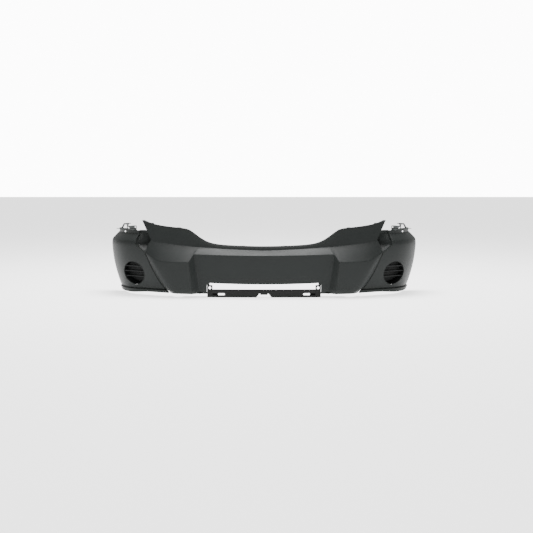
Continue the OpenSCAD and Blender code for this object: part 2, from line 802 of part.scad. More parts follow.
// ---- push-in retainers: a split sleeve and a pin that pulls out ----
sleeve_head_d = 18;
sleeve_head_h = 2;
sleeve_l = 16;
pin_head_d = 9;
pin_head_h = 1.5;
pin_l = 14;
module sleeve() {
    difference() {
        union() {
            cylinder(d = sleeve_head_d, h = sleeve_head_h);
            cylinder(d = sleeve_d, h = sleeve_l);
        }
        translate([0, 0, -1])
            cylinder(d = pin_d + 2 * pin_gap, h = sleeve_l + 5);
        translate([0, 0, sleeve_l + 4])
            cube([1.2, sleeve_d + 2, 16], center = true);
    }
}
sleeve_z = wing_plate_z - sleeve_head_h;
module retainer_sleeves() color("#161718") at_origin() {
    for (side = [-1, 1], x = retainers_x)
        translate([side * x, retainer_y, sleeve_z])
            sleeve();
}
module retainer_pin(x) {
    translate([x, retainer_y, sleeve_z - pin_gap - pin_head_h]) {
        cylinder(d = pin_head_d, h = pin_head_h);
        cylinder(d = pin_d, h = pin_l);
    }
}
module retainer_pin_left_outer() color("#2b2d2f") at_origin() retainer_pin(-retainers_x[0]);
module retainer_pin_left_inner() color("#2b2d2f") at_origin() retainer_pin(-retainers_x[1]);
module retainer_pin_right_inner() color("#2b2d2f") at_origin() retainer_pin(retainers_x[1]);
module retainer_pin_right_outer() color("#2b2d2f") at_origin() retainer_pin(retainers_x[0]);

centre_fascia();
corner_left();
corner_right();
lower_valance();
fog_insert_left();
fog_insert_right();
fog_screws_left();
fog_screws_right();
joint_strip_left();
joint_strip_right();
joint_screws_left();
joint_screws_right();
fender_bracket_left();
fender_bracket_right();
bracket_screws_left();
bracket_screws_right();
bracket_clip_left();
bracket_clip_right();
wing_clip_nuts_left();
wing_clip_nuts_right();
retainer_sleeves();
retainer_pin_left_outer();
retainer_pin_left_inner();
retainer_pin_right_inner();
retainer_pin_right_outer();
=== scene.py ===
# %% [markdown]
# # A front bumper cover in grained plastic
# The cover is a set of thin moulded skins held together by screws, clips and push-in retainers.
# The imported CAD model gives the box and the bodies. The sizes and places of the new pieces are
# named values and formulas that repeat those of the CAD model, so a change there is made here too.
# Every skin is built here as a coarse cage whose features are bevelled and then subdivided,
# because large injection mouldings are smooth between crisp, slightly rounded lines.

# %% Load the frame
import math

import bmesh
import bpy
from mathutils import Matrix, Vector
from mathutils.bvhtree import BVHTree


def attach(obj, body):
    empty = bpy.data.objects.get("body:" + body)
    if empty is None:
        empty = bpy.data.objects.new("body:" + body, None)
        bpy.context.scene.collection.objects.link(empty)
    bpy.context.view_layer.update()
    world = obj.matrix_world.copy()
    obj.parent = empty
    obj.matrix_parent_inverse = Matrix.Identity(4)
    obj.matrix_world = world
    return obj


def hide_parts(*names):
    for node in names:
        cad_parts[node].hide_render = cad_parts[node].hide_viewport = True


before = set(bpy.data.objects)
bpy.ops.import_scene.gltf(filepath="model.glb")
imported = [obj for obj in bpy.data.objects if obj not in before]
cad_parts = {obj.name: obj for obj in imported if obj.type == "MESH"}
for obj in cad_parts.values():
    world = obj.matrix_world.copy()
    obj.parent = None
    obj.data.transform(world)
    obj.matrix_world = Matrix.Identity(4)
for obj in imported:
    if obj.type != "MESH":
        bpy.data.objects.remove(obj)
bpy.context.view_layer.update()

# %% [markdown]
# ## Camera
# A long lens from five metres, at about waist height, tilted a little down. The object sits
# slightly left of the middle of the frame, which a very small shift gives.

# %% Camera
CAMERA_AT = (0.007, -5.218, 0.648)
CAMERA_DOWN = math.radians(5.4)
CAMERA_LENS = 61.9
camera_data = bpy.data.cameras.new("studio_camera")
camera_data.sensor_width = 36
camera_data.lens = CAMERA_LENS
camera_data.shift_x = 0.0024
camera = bpy.data.objects.new("studio_camera", camera_data)
camera.location = CAMERA_AT
camera.rotation_euler = (math.pi / 2 - CAMERA_DOWN, 0, 0)
bpy.context.scene.collection.objects.link(camera)
bpy.context.scene.camera = camera
print("camera", CAMERA_AT, "lens", CAMERA_LENS)

# %% [markdown]
# ## Studio
# A pale floor that glows a little, a pale even surround, one soft light overhead and a weaker
# one in front.
# The light from above is what makes each upward-facing ledge a bright line.

# %% Floor and lights
FLOOR_HALF = 30
FLOOR_DROP = 0.0005


def finished_mesh(name, shape):
    """A bmesh made into an object at the origin."""
    mesh = bpy.data.meshes.new(name)
    shape.to_mesh(mesh)
    shape.free()
    piece = bpy.data.objects.new(name, mesh)
    bpy.context.scene.collection.objects.link(piece)
    return piece


def stage_floor():
    shape = bmesh.new()
    bmesh.ops.create_grid(shape, x_segments=1, y_segments=1, size=FLOOR_HALF)
    bmesh.ops.translate(shape, verts=shape.verts, vec=(0, 0, -FLOOR_DROP))
    floor = finished_mesh("studio_floor", shape)
    material = bpy.data.materials.new("pale_floor")
    material.use_nodes = True
    surface = material.node_tree.nodes["Principled BSDF"]
    surface.inputs["Base Color"].default_value = (0.92, 0.92, 0.92, 1)
    surface.inputs["Roughness"].default_value = 0.9
    surface.inputs["Emission Color"].default_value = (1, 1, 1, 1)
    surface.inputs["Emission Strength"].default_value = 1.6
    floor.data.materials.append(material)
    return floor


def soft_light(name, place, aim, size, power):
    """A rectangular light that looks from its place to its aim."""
    data = bpy.data.lights.new(name, "AREA")
    data.shape = "RECTANGLE"
    data.size, data.size_y = size
    data.energy = power
    lamp = bpy.data.objects.new(name, data)
    lamp.location = place
    lamp.rotation_euler = (Vector(aim) - Vector(place)).to_track_quat("-Z", "Y").to_euler()
    bpy.context.scene.collection.objects.link(lamp)
    return lamp


stage_floor()
soft_light("overhead_light", (0, 0.6, 3.4), (0, 0, 0), (2.4, 2.0), 340)
soft_light("front_light", (0, -4.5, 2.6), (0, 0, 0.2), (4.0, 2.0), 60)
SURROUND_SEEN, SURROUND_LIGHT = 12.0, 0.7
world = bpy.data.worlds.new("studio_surround")
world.use_nodes = True
tree = world.node_tree
surround = tree.nodes["Background"]
surround.inputs["Color"].default_value = (1, 1, 1, 1)
path = tree.nodes.new("ShaderNodeLightPath")
level = tree.nodes.new("ShaderNodeMapRange")
level.inputs["To Min"].default_value = SURROUND_LIGHT
level.inputs["To Max"].default_value = SURROUND_SEEN
tree.links.new(path.outputs["Is Camera Ray"], level.inputs["Value"])
tree.links.new(level.outputs["Result"], surround.inputs["Strength"])
bpy.context.scene.world = world

# %% [markdown]
# ## Shared effects
# Moulded grain, faint unevenness and handling scuffs appear in most finishes, so each is one
# node group with named inputs. A group gives out only heights and masks; the shader itself
# stays in the material. All of them read Object coordinates, in metres.

# %% Node groups
def effect_group(name, inputs, outputs):
    """An empty shader node group with float inputs and outputs, and its object coordinates."""
    group = bpy.data.node_groups.new(name, "ShaderNodeTree")
    for label, value in inputs:
        socket = group.interface.new_socket(label, in_out="INPUT", socket_type="NodeSocketFloat")
        socket.default_value = value
    for label in outputs:
        group.interface.new_socket(label, in_out="OUTPUT", socket_type="NodeSocketFloat")
    taken = group.nodes.new("NodeGroupInput")
    given = group.nodes.new("NodeGroupOutput")
    place = group.nodes.new("ShaderNodeTexCoord")
    return group, taken, given, place


def node(group, kind, links=(), **values):
    """A node with its values set by name and its inputs linked from (socket, label) pairs."""
    made = group.nodes.new(kind)
    for label, value in values.items():
        setattr(made, label, value)
    for source, label in links:
        group.links.new(source, made.inputs[label])
    return made


def grain_group():
    """A leathery moulded grain: cells of two sizes with soft valleys."""
    group, taken, given, place = effect_group("moulded_grain", [("Cells per metre", 600)], ["Height"])
    cells = node(group, "ShaderNodeTexVoronoi", [(place.outputs["Object"], "Vector"),
                 (taken.outputs[0], "Scale")], feature="SMOOTH_F1")
    finer = node(group, "ShaderNodeMath", [(taken.outputs[0], 0)], operation="MULTIPLY")
    finer.inputs[1].default_value = 2.3
    noise = node(group, "ShaderNodeTexNoise", [(place.outputs["Object"], "Vector"),
                 (finer.outputs[0], "Scale")])
    noise.inputs["Detail"].default_value = 3
    both = node(group, "ShaderNodeMath", [(cells.outputs["Distance"], 0),
                (noise.outputs[0], 1)], operation="ADD")
    group.links.new(both.outputs[0], given.inputs["Height"])
    return group


def unevenness_group():
    """Broad cloudy patches, as on any large moulding."""
    group, taken, given, place = effect_group("unevenness", [("Patches per metre", 5)], ["Mask"])
    noise = node(group, "ShaderNodeTexNoise", [(place.outputs["Object"], "Vector"),
                 (taken.outputs[0], "Scale")])
    noise.inputs["Detail"].default_value = 5
    noise.inputs["Roughness"].default_value = 0.6
    even = node(group, "ShaderNodeMapRange", [(noise.outputs[0], "Value")])
    even.inputs["From Min"].default_value = 0.3
    even.inputs["From Max"].default_value = 0.7
    group.links.new(even.outputs["Result"], given.inputs["Mask"])
    return group


def scuff_group():
    """Sparse fine scuffs, drawn out along the width."""
    group, taken, given, place = effect_group("scuffs", [("Scuffs per metre", 40)], ["Mask"])
    turn = node(group, "ShaderNodeMapping", [(place.outputs["Object"], "Vector")])
    turn.inputs["Rotation"].default_value = (0.2, 0.5, 0.3)
    turn.inputs["Scale"].default_value = (0.15, 1, 1.6)
    noise = node(group, "ShaderNodeTexNoise", [(turn.outputs["Vector"], "Vector"),
                 (taken.outputs[0], "Scale")])
    noise.inputs["Detail"].default_value = 8
    noise.inputs["Roughness"].default_value = 0.75
    rare = node(group, "ShaderNodeMapRange", [(noise.outputs[0], "Value")])
    rare.inputs["From Min"].default_value = 0.62
    rare.inputs["From Max"].default_value = 0.72
    group.links.new(rare.outputs["Result"], given.inputs["Mask"])
    return group


GRAIN, UNEVEN, SCUFFS = grain_group(), unevenness_group(), scuff_group()


# %% Finishes
def linear(value):
    """A display colour from 0 to 255 as a linear value."""
    value /= 255
    return value / 12.92 if value <= 0.04045 else ((value + 0.055) / 1.055) ** 2.4


def finish(name, colour, rough, grain=0.0, cells=600, metal=0.0, patches=5, contrast=0.12,
           specular=0.5):
    """A Principled material with grain in its normal and patches and scuffs in its colour."""
    material = bpy.data.materials.new(name)
    material.use_nodes = True
    tree = material.node_tree
    shader = tree.nodes["Principled BSDF"]
    base = [linear(c) for c in colour]
    shader.inputs["Metallic"].default_value = metal
    shader.inputs["Specular IOR Level"].default_value = specular
    uneven = node(tree, "ShaderNodeGroup", node_tree=UNEVEN)
    uneven.inputs[0].default_value = patches
    scuffs = node(tree, "ShaderNodeGroup", node_tree=SCUFFS)
    tone = node(tree, "ShaderNodeMix", [(uneven.outputs[0], 0)], data_type="RGBA")
    tone.inputs[6].default_value = (*(c * (1 - contrast) for c in base), 1)
    tone.inputs[7].default_value = (*(c * (1 + contrast) for c in base), 1)
    worn = node(tree, "ShaderNodeMix", [(scuffs.outputs[0], 0), (tone.outputs[2], 6)],
                data_type="RGBA")
    worn.inputs[7].default_value = (*(c * 1.25 + 0.004 for c in base), 1)
    tree.links.new(worn.outputs[2], shader.inputs["Base Color"])
    gloss = node(tree, "ShaderNodeMapRange", [(uneven.outputs[0], "Value")])
    gloss.inputs["To Min"].default_value = rough - 0.04
    gloss.inputs["To Max"].default_value = rough + 0.05
    tree.links.new(gloss.outputs["Result"], shader.inputs["Roughness"])
    if grain:
        height = node(tree, "ShaderNodeGroup", node_tree=GRAIN)
        height.inputs[0].default_value = cells
        bump = node(tree, "ShaderNodeBump", [(height.outputs[0], "Height")])
        bump.inputs["Strength"].default_value = 1
        bump.inputs["Distance"].default_value = grain
        tree.links.new(bump.outputs["Normal"], shader.inputs["Normal"])
    return material


FINISHES = {
    "grained_plastic": finish("grained_plastic", (24, 27, 26), 0.5, 0.00012, 620, specular=0.16),
    "black_plastic": finish("black_plastic", (17, 18, 17), 0.5, 0.00005, 900, specular=0.15),
    "insert_plastic": finish("insert_plastic", (12, 14, 14), 0.5, 0.00004, 900, specular=0.15),
    "grey_plastic": finish("grey_plastic", (64, 68, 67), 0.48, 0.00004, 900, specular=0.3),
    "black_screw": finish("black_screw", (34, 35, 36), 0.38, 0.00002, 1800, metal=0.6),
    "zinc_screw": finish("zinc_screw", (170, 172, 170), 0.34, 0.00002, 1800, metal=1),
    "dark_clip": finish("dark_clip", (52, 54, 54), 0.42, 0.00002, 1800, metal=0.5),
    "bright_clip": finish("bright_clip", (120, 123, 124), 0.36, 0.00002, 1800, metal=0.9),
    "nylon_sleeve": finish("nylon_sleeve", (26, 27, 28), 0.45, 0.00003, 1500),
    "nylon_pin": finish("nylon_pin", (36, 38, 40), 0.42, 0.00003, 1500),
}
print("finishes", len(FINISHES))


def dressed(piece, slot, body="cover", replaced=()):
    """Gives a piece the finish of its slot and its body, and hides the nodes it stands for."""
    piece.data.materials.clear()
    piece.data.materials.append(FINISHES[slot])
    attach(piece, body)
    if replaced:
        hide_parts(*replaced)
    return piece


# %% [markdown]
# ## Sizes
# These are the sizes of the CAD model, in millimetres, with depth measured back from the front
# of the blocks. The last step of every piece scales it to metres and centres it front to back.

# %% Overall sizes
OVERALL_W, OVERALL_D, OVERALL_H, WALL = 1800, 430, 422, 3
VALANCE_DROP = 8
HALF_W = OVERALL_W / 2
CORNER_W, CORNER_FRONT, CORNER_SWEEP = 365, 60, 0.22
X_FOOT = HALF_W - CORNER_W
TUCK, TUCK_POWER = 62, 2
SHOULDER_H, BEVEL_TOP_H, BEVEL_INSET, FLANGE_H = 296, 341, 45, 17
RETURN_D, JOINT_GAP, JOINT_FLANGE = 16, 3, 22


def mix(a, b, t):
    return a + (b - a) * t


def clamp(t):
    return min(max(t, 0.0), 1.0)


def ease(t):
    t = clamp(t)
    return t * t * (3 - 2 * t)


def lookup(x, keys):
    """Straight-line value between [x, value] keys, held at both ends."""
    if x <= keys[0][0]:
        return keys[0][1]
    for (x0, v0), (x1, v1) in zip(keys, keys[1:]):
        if x <= x1:
            return mix(v0, v1, (x - x0) / (x1 - x0))
    return keys[-1][1]


# %% [markdown]
# ## The plan of a corner
# Seen from above, a corner starts as a gentle slope and ends nearly square to it, like the side
# of a loaf. A slope plus a superellipse gives that, and its normal leans the bevels inwards.

# %% Plan of the corner
PLAN_REACH = CORNER_W + 10
PLAN_POWER = 4


def bulge(s):
    return 1 - (1 - s ** PLAN_POWER) ** (1 / PLAN_POWER)


PLAN_DEPTH = (OVERALL_D - CORNER_FRONT - CORNER_SWEEP * CORNER_W) / bulge(CORNER_W / PLAN_REACH)


def plan_y(x):
    return CORNER_FRONT + CORNER_SWEEP * x + PLAN_DEPTH * bulge(max(x, 0) / PLAN_REACH)


def plan_slope(x):
    s = max(x, 0) / PLAN_REACH
    steep = s ** (PLAN_POWER - 1) * (1 - s ** PLAN_POWER) ** (1 / PLAN_POWER - 1)
    return CORNER_SWEEP + PLAN_DEPTH / PLAN_REACH * steep


def plan_out(x):
    m = plan_slope(x)
    return Vector((m, -1, 0)) / math.hypot(1, m)


REAR_LEAN = -BEVEL_INSET * plan_out(CORNER_W).y
MID_Y = (OVERALL_D + REAR_LEAN) / 2
TO_FRAME = Matrix.Scale(0.001, 4) @ Matrix.Translation((0, -MID_Y, VALANCE_DROP))


def inset(z):
    if z < SHOULDER_H:
        return TUCK * (1 - z / SHOULDER_H) ** TUCK_POWER
    return BEVEL_INSET * clamp((z - SHOULDER_H) / (BEVEL_TOP_H - SHOULDER_H))


def corner_point(x, z, more=0.0):
    """A point of the corner's face, moved in by a further amount."""
    share = mix(0.35, 1, clamp(x / 150)) if z < SHOULDER_H else 1
    n = plan_out(x)
    i = inset(z) * share + more
    return Vector((X_FOOT + x - n.x * i, plan_y(x) - n.y * i, z))


print("corner: depth of the plan", round(PLAN_DEPTH, 1), "mm, middle at", round(MID_Y, 1), "mm")

# %% [markdown]
# ## The joint line
# The fascia and each corner meet along a line that rises outwards in a curve. Both skins, and
# the strip between them, take their edge from this one function, so they can't drift apart.

# %% Joint line
JOINT_FOOT_H, JOINT_TOP_H, JOINT_RUN, JOINT_POWER = 23, 235, 128, 0.62
BOTTOM_H, LIP_H = 12, 14
LIP_TOP_H = BOTTOM_H + LIP_H
JOINT_ROWS = [BOTTOM_H + 10, LIP_TOP_H, LIP_TOP_H + 8, 46, 62, 85, 110, 140, 170, 200]
CHAMFER_TOP_H, CHAMFER_X = 280, 184
ARCH_CUT, ARCH_POWER = 16, 2


def joint_x(z):
    if z < JOINT_FOOT_H:
        return (z - JOINT_FOOT_H) * 0.4
    return JOINT_RUN * clamp((z - JOINT_FOOT_H) / (JOINT_TOP_H - JOINT_FOOT_H)) ** JOINT_POWER


def face_start(z):
    if z <= JOINT_TOP_H:
        return joint_x(z)
    return mix(JOINT_RUN, CHAMFER_X, clamp((z - JOINT_TOP_H) / (CHAMFER_TOP_H - JOINT_TOP_H)))


def face_end(z):
    return CORNER_W - ARCH_CUT * (1 - min(z, SHOULDER_H) / SHOULDER_H) ** ARCH_POWER


# %% [markdown]
# ## From a cage to a moulded skin
# A flat grid is laid over the cage's points. Each feature line gets a support line close on
# both sides, which is how a subdivided surface holds a small radius, and Subdivision Surface
# smooths the rest. The air opening is cut out of the surface with planes before Solidify gives
# the wall. The round openings are cut last, with Boolean cutters, so their edges stay crisp.

# %% Skin helpers
def beside(line, radii):
    """A line of points with a support point close to each side of every feature point."""
    made = []
    for k, point in enumerate(line):
        for step in (-1, 0, 1):
            near = k + step
            if step == 0:
                made.append(point)
            elif k in radii and 0 <= near < len(line):
                way = line[near] - point
                made.append(point + way * min(radii[k] / max(way.length, 1e-6), 0.4))
    return made


def supported(points, rows, cols):
    """A grid of points with support lines beside its feature rows and columns."""
    wide = [beside(row, cols) for row in points]
    tall = [beside(list(column), rows) for column in zip(*wide)]
    return [list(row) for row in zip(*tall)]


def laid_grid(points):
    """A bmesh grid whose points lie on the given rows of points."""
    shape = bmesh.new()
    rows, cols = len(points), len(points[0])
    bmesh.ops.create_grid(shape, x_segments=cols - 1, y_segments=rows - 1, size=0.5)
    shape.verts.ensure_lookup_table()
    for i, row in enumerate(points):
        for j, point in enumerate(row):
            shape.verts[i * cols + j].co = point
    return shape


def mirrored(shape):
    """The same shape for the left side, with its faces turned the right way again."""
    bmesh.ops.scale(shape, verts=shape.verts, vec=(-1, 1, 1))
    bmesh.ops.reverse_faces(shape, faces=shape.faces)
    return shape


def applied(piece):
    """Fixes a piece's modifiers into its mesh."""
    bpy.context.view_layer.update()
    seen = piece.evaluated_get(bpy.context.evaluated_depsgraph_get())
    mesh = bpy.data.meshes.new_from_object(seen)
    piece.modifiers.clear()
    piece.data = mesh
    return piece


def smoothed(piece, angle=32):
    """Smooth shading that breaks at edges sharper than an angle."""
    for face in piece.data.polygons:
        face.use_smooth = True
    piece.data.set_sharp_from_angle(angle=math.radians(angle))
    return piece


def parted(piece, cuts, gone):
    """Cuts a skin along planes and takes away the faces that a test picks out."""
    shape = bmesh.new()
    shape.from_mesh(piece.data)
    for place, normal in cuts:
        bmesh.ops.bisect_plane(shape, geom=shape.verts[:] + shape.edges[:] + shape.faces[:],
                               dist=1e-6, plane_co=place, plane_no=normal)
    for vert in shape.verts:
        vert.co.z -= (opening_edge(vert.co.x * 1000) - OPENING_TOP) / 1000
    level = (OPENING_TOP + LIFT) / 1000
    bmesh.ops.bisect_plane(shape, geom=shape.verts[:] + shape.edges[:] + shape.faces[:],
                           dist=1e-6, plane_co=(0, 0, level), plane_no=(0, 0, 1))
    for vert in shape.verts:
        vert.co.z += (opening_edge(vert.co.x * 1000) - OPENING_TOP) / 1000
    doomed = [f for f in shape.faces if gone(f.calc_center_median())]
    bmesh.ops.delete(shape, geom=doomed, context="FACES")
    shape.to_mesh(piece.data)
    shape.free()


def moulded(name, shape, wall, level, cuts=None, gone=None, cutter=None):
    """A smooth skin with a wall, less its cuts and its cutter."""
    bmesh.ops.transform(shape, matrix=TO_FRAME, verts=shape.verts)
    piece = finished_mesh(name, shape)
    rounding = piece.modifiers.new("rounding", "SUBSURF")
    rounding.levels = rounding.render_levels = level
    rounding.use_limit_surface = False
    rounding.boundary_smooth = "PRESERVE_CORNERS"
    applied(piece)
    if cuts:
        parted(piece, cuts, gone)
    solid = piece.modifiers.new("wall", "SOLIDIFY")
    solid.thickness = wall / 1000
    solid.offset = -1
    solid.use_even_offset = True
    if cutter:
        bmesh.ops.transform(cutter, matrix=TO_FRAME, verts=cutter.verts)
        bmesh.ops.recalc_face_normals(cutter, faces=cutter.faces)
        tool = finished_mesh(name + "_cutter", cutter)
        cut = piece.modifiers.new("openings", "BOOLEAN")
        cut.operation = "DIFFERENCE"
        cut.solver = "EXACT"
        cut.use_self = True
        cut.use_hole_tolerant = True
        cut.object = tool
    applied(piece)
    if cutter:
        bpy.data.objects.remove(tool)
    smoothed(piece)
    print(name, len(piece.data.vertices), "points", len(piece.data.polygons), "faces")
    return piece


# %% [markdown]
# ## Centre fascia
# The middle moulding carries the recessed panel, a raised block on each side with a sloping
# wall between them, the bright shelf, and two wings that rise towards the headlamps. Its cage
# has a row for each of those lines and a column for each corner in plan.

# %% Centre fascia: sizes
PANEL_LEDGE_H, PANEL_RECESS, PANEL_BOW = 223, 40, 16
TOP_EDGE_H, TOP_EDGE_Y = 271, 85
BLOCK_LEDGE_H, BLOCK_W, STEP_W, BLOCK_SWEEP = 190, 168, 26, 0.22
PANEL_HALF = X_FOOT - BLOCK_W + 21
PANEL_LEAN, BLOCK_LEAN = 33, 17
BLOCK_IN = PANEL_HALF + STEP_W
BASE_H = 46
PANEL_SHARE = [0, 0.28, 0.58, 0.72, 0.83, 0.94, 1]
BLOCK_SHARE = [0, 0.14, 0.54, 1]
PANEL_FRONT = PANEL_RECESS - PANEL_BOW
SHOULDER_LEDGE_Z = 213
HEM_IN, MITRE = 24, 14


def panel_edge(z):
    return PANEL_HALF - PANEL_LEAN * (1 - z / PANEL_LEDGE_H)


def block_edge(z):
    return BLOCK_IN - BLOCK_LEAN * (1 - z / BLOCK_LEDGE_H)


def block_end(z):
    return X_FOOT + joint_x(z) - mix(38, 60, ease((z - 150) / 43))


def panel_y(x):
    return PANEL_FRONT + PANEL_BOW * (x / PANEL_HALF) ** 2


def block_y(x):
    return BLOCK_SWEEP * max(x - block_edge(0), 0)


def joint_point(z):
    return corner_point(joint_x(z) - JOINT_GAP / 2, z)


def panel_ledge_z(s):
    return PANEL_LEDGE_H + 7 * s * s


def block_ledge_z(s):
    return BLOCK_LEDGE_H + 3 * s - 4 * math.sin(math.pi * s)


def squeeze(z, top):
    """Heights under a ledge that isn't as high as the joint."""
    return z if z <= BASE_H else mix(BASE_H, top, (z - BASE_H) / (JOINT_TOP_H - BASE_H))


# %% Centre fascia: rows of the cage
CREASE_OUT, WING_OUT = 99, 128
CREASE_H = TOP_EDGE_H - 24
TIP_H = OVERALL_H - VALANCE_DROP
CREASE_X = X_FOOT + CREASE_OUT
TIP_X = X_FOOT + WING_OUT + 24
CREASE_KEYS = [(0, -13, 0), (0.35, -7, 10), (0.57, 3, 20), (0.7, 13, 28), (0.84, 23, 38),
               (0.93, 33, 46), (1, 45, 57)]
TOP_KEYS = [(0, 0, 0), (0.163, 2, 0.017), (0.326, 5, 0.055), (0.407, 10, 0.103),
            (0.471, 15, 0.193), (0.529, 20, 0.37), (0.561, 23, 0.492), (0.595, 25, 0.615),
            (0.635, 30, 0.695), (0.734, 40, 0.735), (0.859, 55, 0.807), (0.946, 65, 0.917),
            (1, 80, 1)]


def lower_row(z, back):
    """One row of the lower face, from the middle to the joint."""
    far = block_end(squeeze(z, block_ledge_z(1)))
    end = joint_point(z)
    row = []
    for s in PANEL_SHARE:
        h = squeeze(z, panel_ledge_z(s))
        x = s * panel_edge(h)
        row.append(Vector((x, panel_y(x) + back, h)))
    for s in BLOCK_SHARE:
        h = squeeze(z, block_ledge_z(s))
        x = mix(block_edge(h), far, s)
        row.append(Vector((x, block_y(x) + back, h)))
    row.append(Vector((mix(far, end.x, 0.5), mix(block_y(far), end.y, 0.42) + back,
                       squeeze(z, SHOULDER_LEDGE_Z))))
    row.append(end + Vector((0, back, 0)))
    row.append(end + Vector((0, back + JOINT_FLANGE, 0)))
    return row


def ledge_row():
    """The line where the lower face turns back into the shelf and the slopes."""
    far = block_end(block_ledge_z(1))
    end = joint_point(JOINT_TOP_H)
    row = [Vector((s * PANEL_HALF, panel_y(s * PANEL_HALF), panel_ledge_z(s)))
           for s in PANEL_SHARE]
    for s in BLOCK_SHARE:
        x = mix(BLOCK_IN, far, s)
        row.append(Vector((x, block_y(x), block_ledge_z(s))))
    row.append(Vector((mix(far, end.x, 0.5), mix(block_y(far), end.y, 0.55), SHOULDER_LEDGE_Z)))
    return row + [end, end + Vector((0, JOINT_FLANGE, 0))]


def upper_share(j):
    if j < 7:
        return PANEL_SHARE[j] * PANEL_HALF / TIP_X
    if j < 11:
        return mix(BLOCK_IN / TIP_X, 0.86, BLOCK_SHARE[j - 7])
    return 0.93 if j == 11 else 1


def key_row(keys, reach, rise_from, rise):
    """A row along keys of share of the way out, depth and rise, with its flange."""
    row = []
    for j in range(13):
        s = upper_share(j)
        deep = lookup(s, [(k[0], k[1]) for k in keys])
        high = lookup(s, [(k[0], k[2]) for k in keys])
        row.append(Vector((s * reach, TOP_EDGE_Y + deep, rise_from + rise * high)))
    return row + [row[12] + Vector((0, JOINT_FLANGE, 0))]


def between(a, b, t, push):
    return [p.lerp(q, t) + push(j) for j, (p, q) in enumerate(zip(a, b))]


def return_row(row, deep):
    """A return behind a row, mitred into the flange at its end."""
    made = [p + Vector((0, deep, 0)) for p in row[:12]]
    return made + [row[12] + Vector((-MITRE, JOINT_FLANGE - 6, 0)), row[13] + Vector((-MITRE, 0, 0))]


def fascia_rows():
    low = [lower_row(BOTTOM_H, 12)]
    for z in JOINT_ROWS:
        low.append(lower_row(z, 12 * (1 - clamp((z - BOTTOM_H) / 22)) ** 2))
    ledge = ledge_row()
    crease = key_row(CREASE_KEYS, CREASE_X, CREASE_H, 1)
    top = key_row(TOP_KEYS, TIP_X, TOP_EDGE_H, TIP_H - TOP_EDGE_H)
    slope = between(ledge, crease, 0.5, lambda j: Vector((8, 0, 0)) if j > 11 else Vector((0, -2, 1)))
    wing = between(crease, top, 0.5, lambda j: Vector((0, -2, 0)))
    return ([return_row(low[0], HEM_IN + 10)] + low
            + [ledge, slope, crease, wing, top, return_row(top, RETURN_D)])


half = fascia_rows()
whole = [[Vector((-p.x, p.y, p.z)) for p in reversed(row[1:])] + row for row in half]
print("fascia cage", len(whole), "rows of", len(whole[0]))

# %% Centre fascia: skin
LEDGE_ROW = 2 + len(JOINT_ROWS)
fascia_tight_rows = {0: 0, 1: 3, LEDGE_ROW: 4, LEDGE_ROW + 2: 5, LEDGE_ROW + 4: 3}
fascia_tight_cols = {0: 0}
for j, radius in ((6, 5), (7, 5), (12, 3)):
    fascia_tight_cols[13 + j] = fascia_tight_cols[13 - j] = radius
fascia_tight_rows.pop(0)
fascia_tight_cols.pop(0)


def drawn(outline, holes=()):
    """A flat face in the XY plane with an outline and holes, from loops of (x, y) points."""
    shape = bmesh.new()
    edges = []
    for loop in (outline, *holes):
        verts = [shape.verts.new((*point, 0)) for point in loop]
        edges += [shape.edges.new((a, b)) for a, b in zip(verts, verts[1:] + verts[:1])]
    bmesh.ops.triangle_fill(shape, use_beauty=True, use_dissolve=False, edges=edges,
                            normal=(0, 0, 1))
    return shape


def thickened(shape, depth):
    """A flat shape drawn out along Z by a depth, and closed."""
    made = bmesh.ops.extrude_face_region(shape, geom=shape.faces[:])
    moved = [g for g in made["geom"] if isinstance(g, bmesh.types.BMVert)]
    bmesh.ops.translate(shape, verts=moved, vec=(0, 0, depth))
    bmesh.ops.recalc_face_normals(shape, faces=shape.faces)
    return shape


def upright(shape, front):
    """Stands an XY shape up in the XZ plane, its thickness going back from a depth."""
    swap = Matrix(((1, 0, 0, 0), (0, 0, 1, 0), (0, 1, 0, 0), (0, 0, 0, 1)))
    turn = Matrix.Translation((0, front, 0)) @ swap
    bmesh.ops.transform(shape, matrix=turn, verts=shape.verts)
    bmesh.ops.reverse_faces(shape, faces=shape.faces)
    return shape


def gathered(*shapes):
    """Several bmeshes joined into the first."""
    whole = shapes[0]
    for part in shapes[1:]:
        mesh = bpy.data.meshes.new("gathered")
        part.to_mesh(mesh)
        part.free()
        whole.from_mesh(mesh)
        bpy.data.meshes.remove(mesh)
    return whole


OPENING_HALF, OPENING_TOP, OPENING_SAG = PANEL_HALF - 87, 72, 7
VALANCE_HALF = OPENING_HALF + 14
VALANCE_GAP, EAR_TOP = 0.8, 60
LIFT = VALANCE_DROP
OPENING_CUTS = [((side * x / 1000, 0, 0), (1, 0, 0)) for side in (-1, 1)
                for x in (OPENING_HALF, VALANCE_HALF + VALANCE_GAP)]
OPENING_CUTS.append(((0, 0, (EAR_TOP + VALANCE_GAP + LIFT) / 1000), (0, 0, 1)))


def opening_edge(x):
    """Height of the upper edge of the air opening, which dips at the middle."""
    return OPENING_TOP - OPENING_SAG * (1 - (x / OPENING_HALF) ** 2)


def in_opening(p):
    x, z = abs(p.x) * 1000, p.z * 1000 - LIFT
    return (x < OPENING_HALF and z < opening_edge(x)) or (
        x < VALANCE_HALF + VALANCE_GAP and z < EAR_TOP + VALANCE_GAP)


fascia_cage = laid_grid(supported(whole, fascia_tight_rows, fascia_tight_cols))
fascia = moulded("centre_fascia_skin", fascia_cage, WALL, 2, OPENING_CUTS, in_opening)
dressed(fascia, "grained_plastic", replaced=["centre_fascia"])

# %% [markdown]
# ## Corners
# Each corner wraps from the joint line to the wheel arch. Its rows are the lip, the joint's own
# heights, the shoulder line, the top of the bevel and the flange over it.

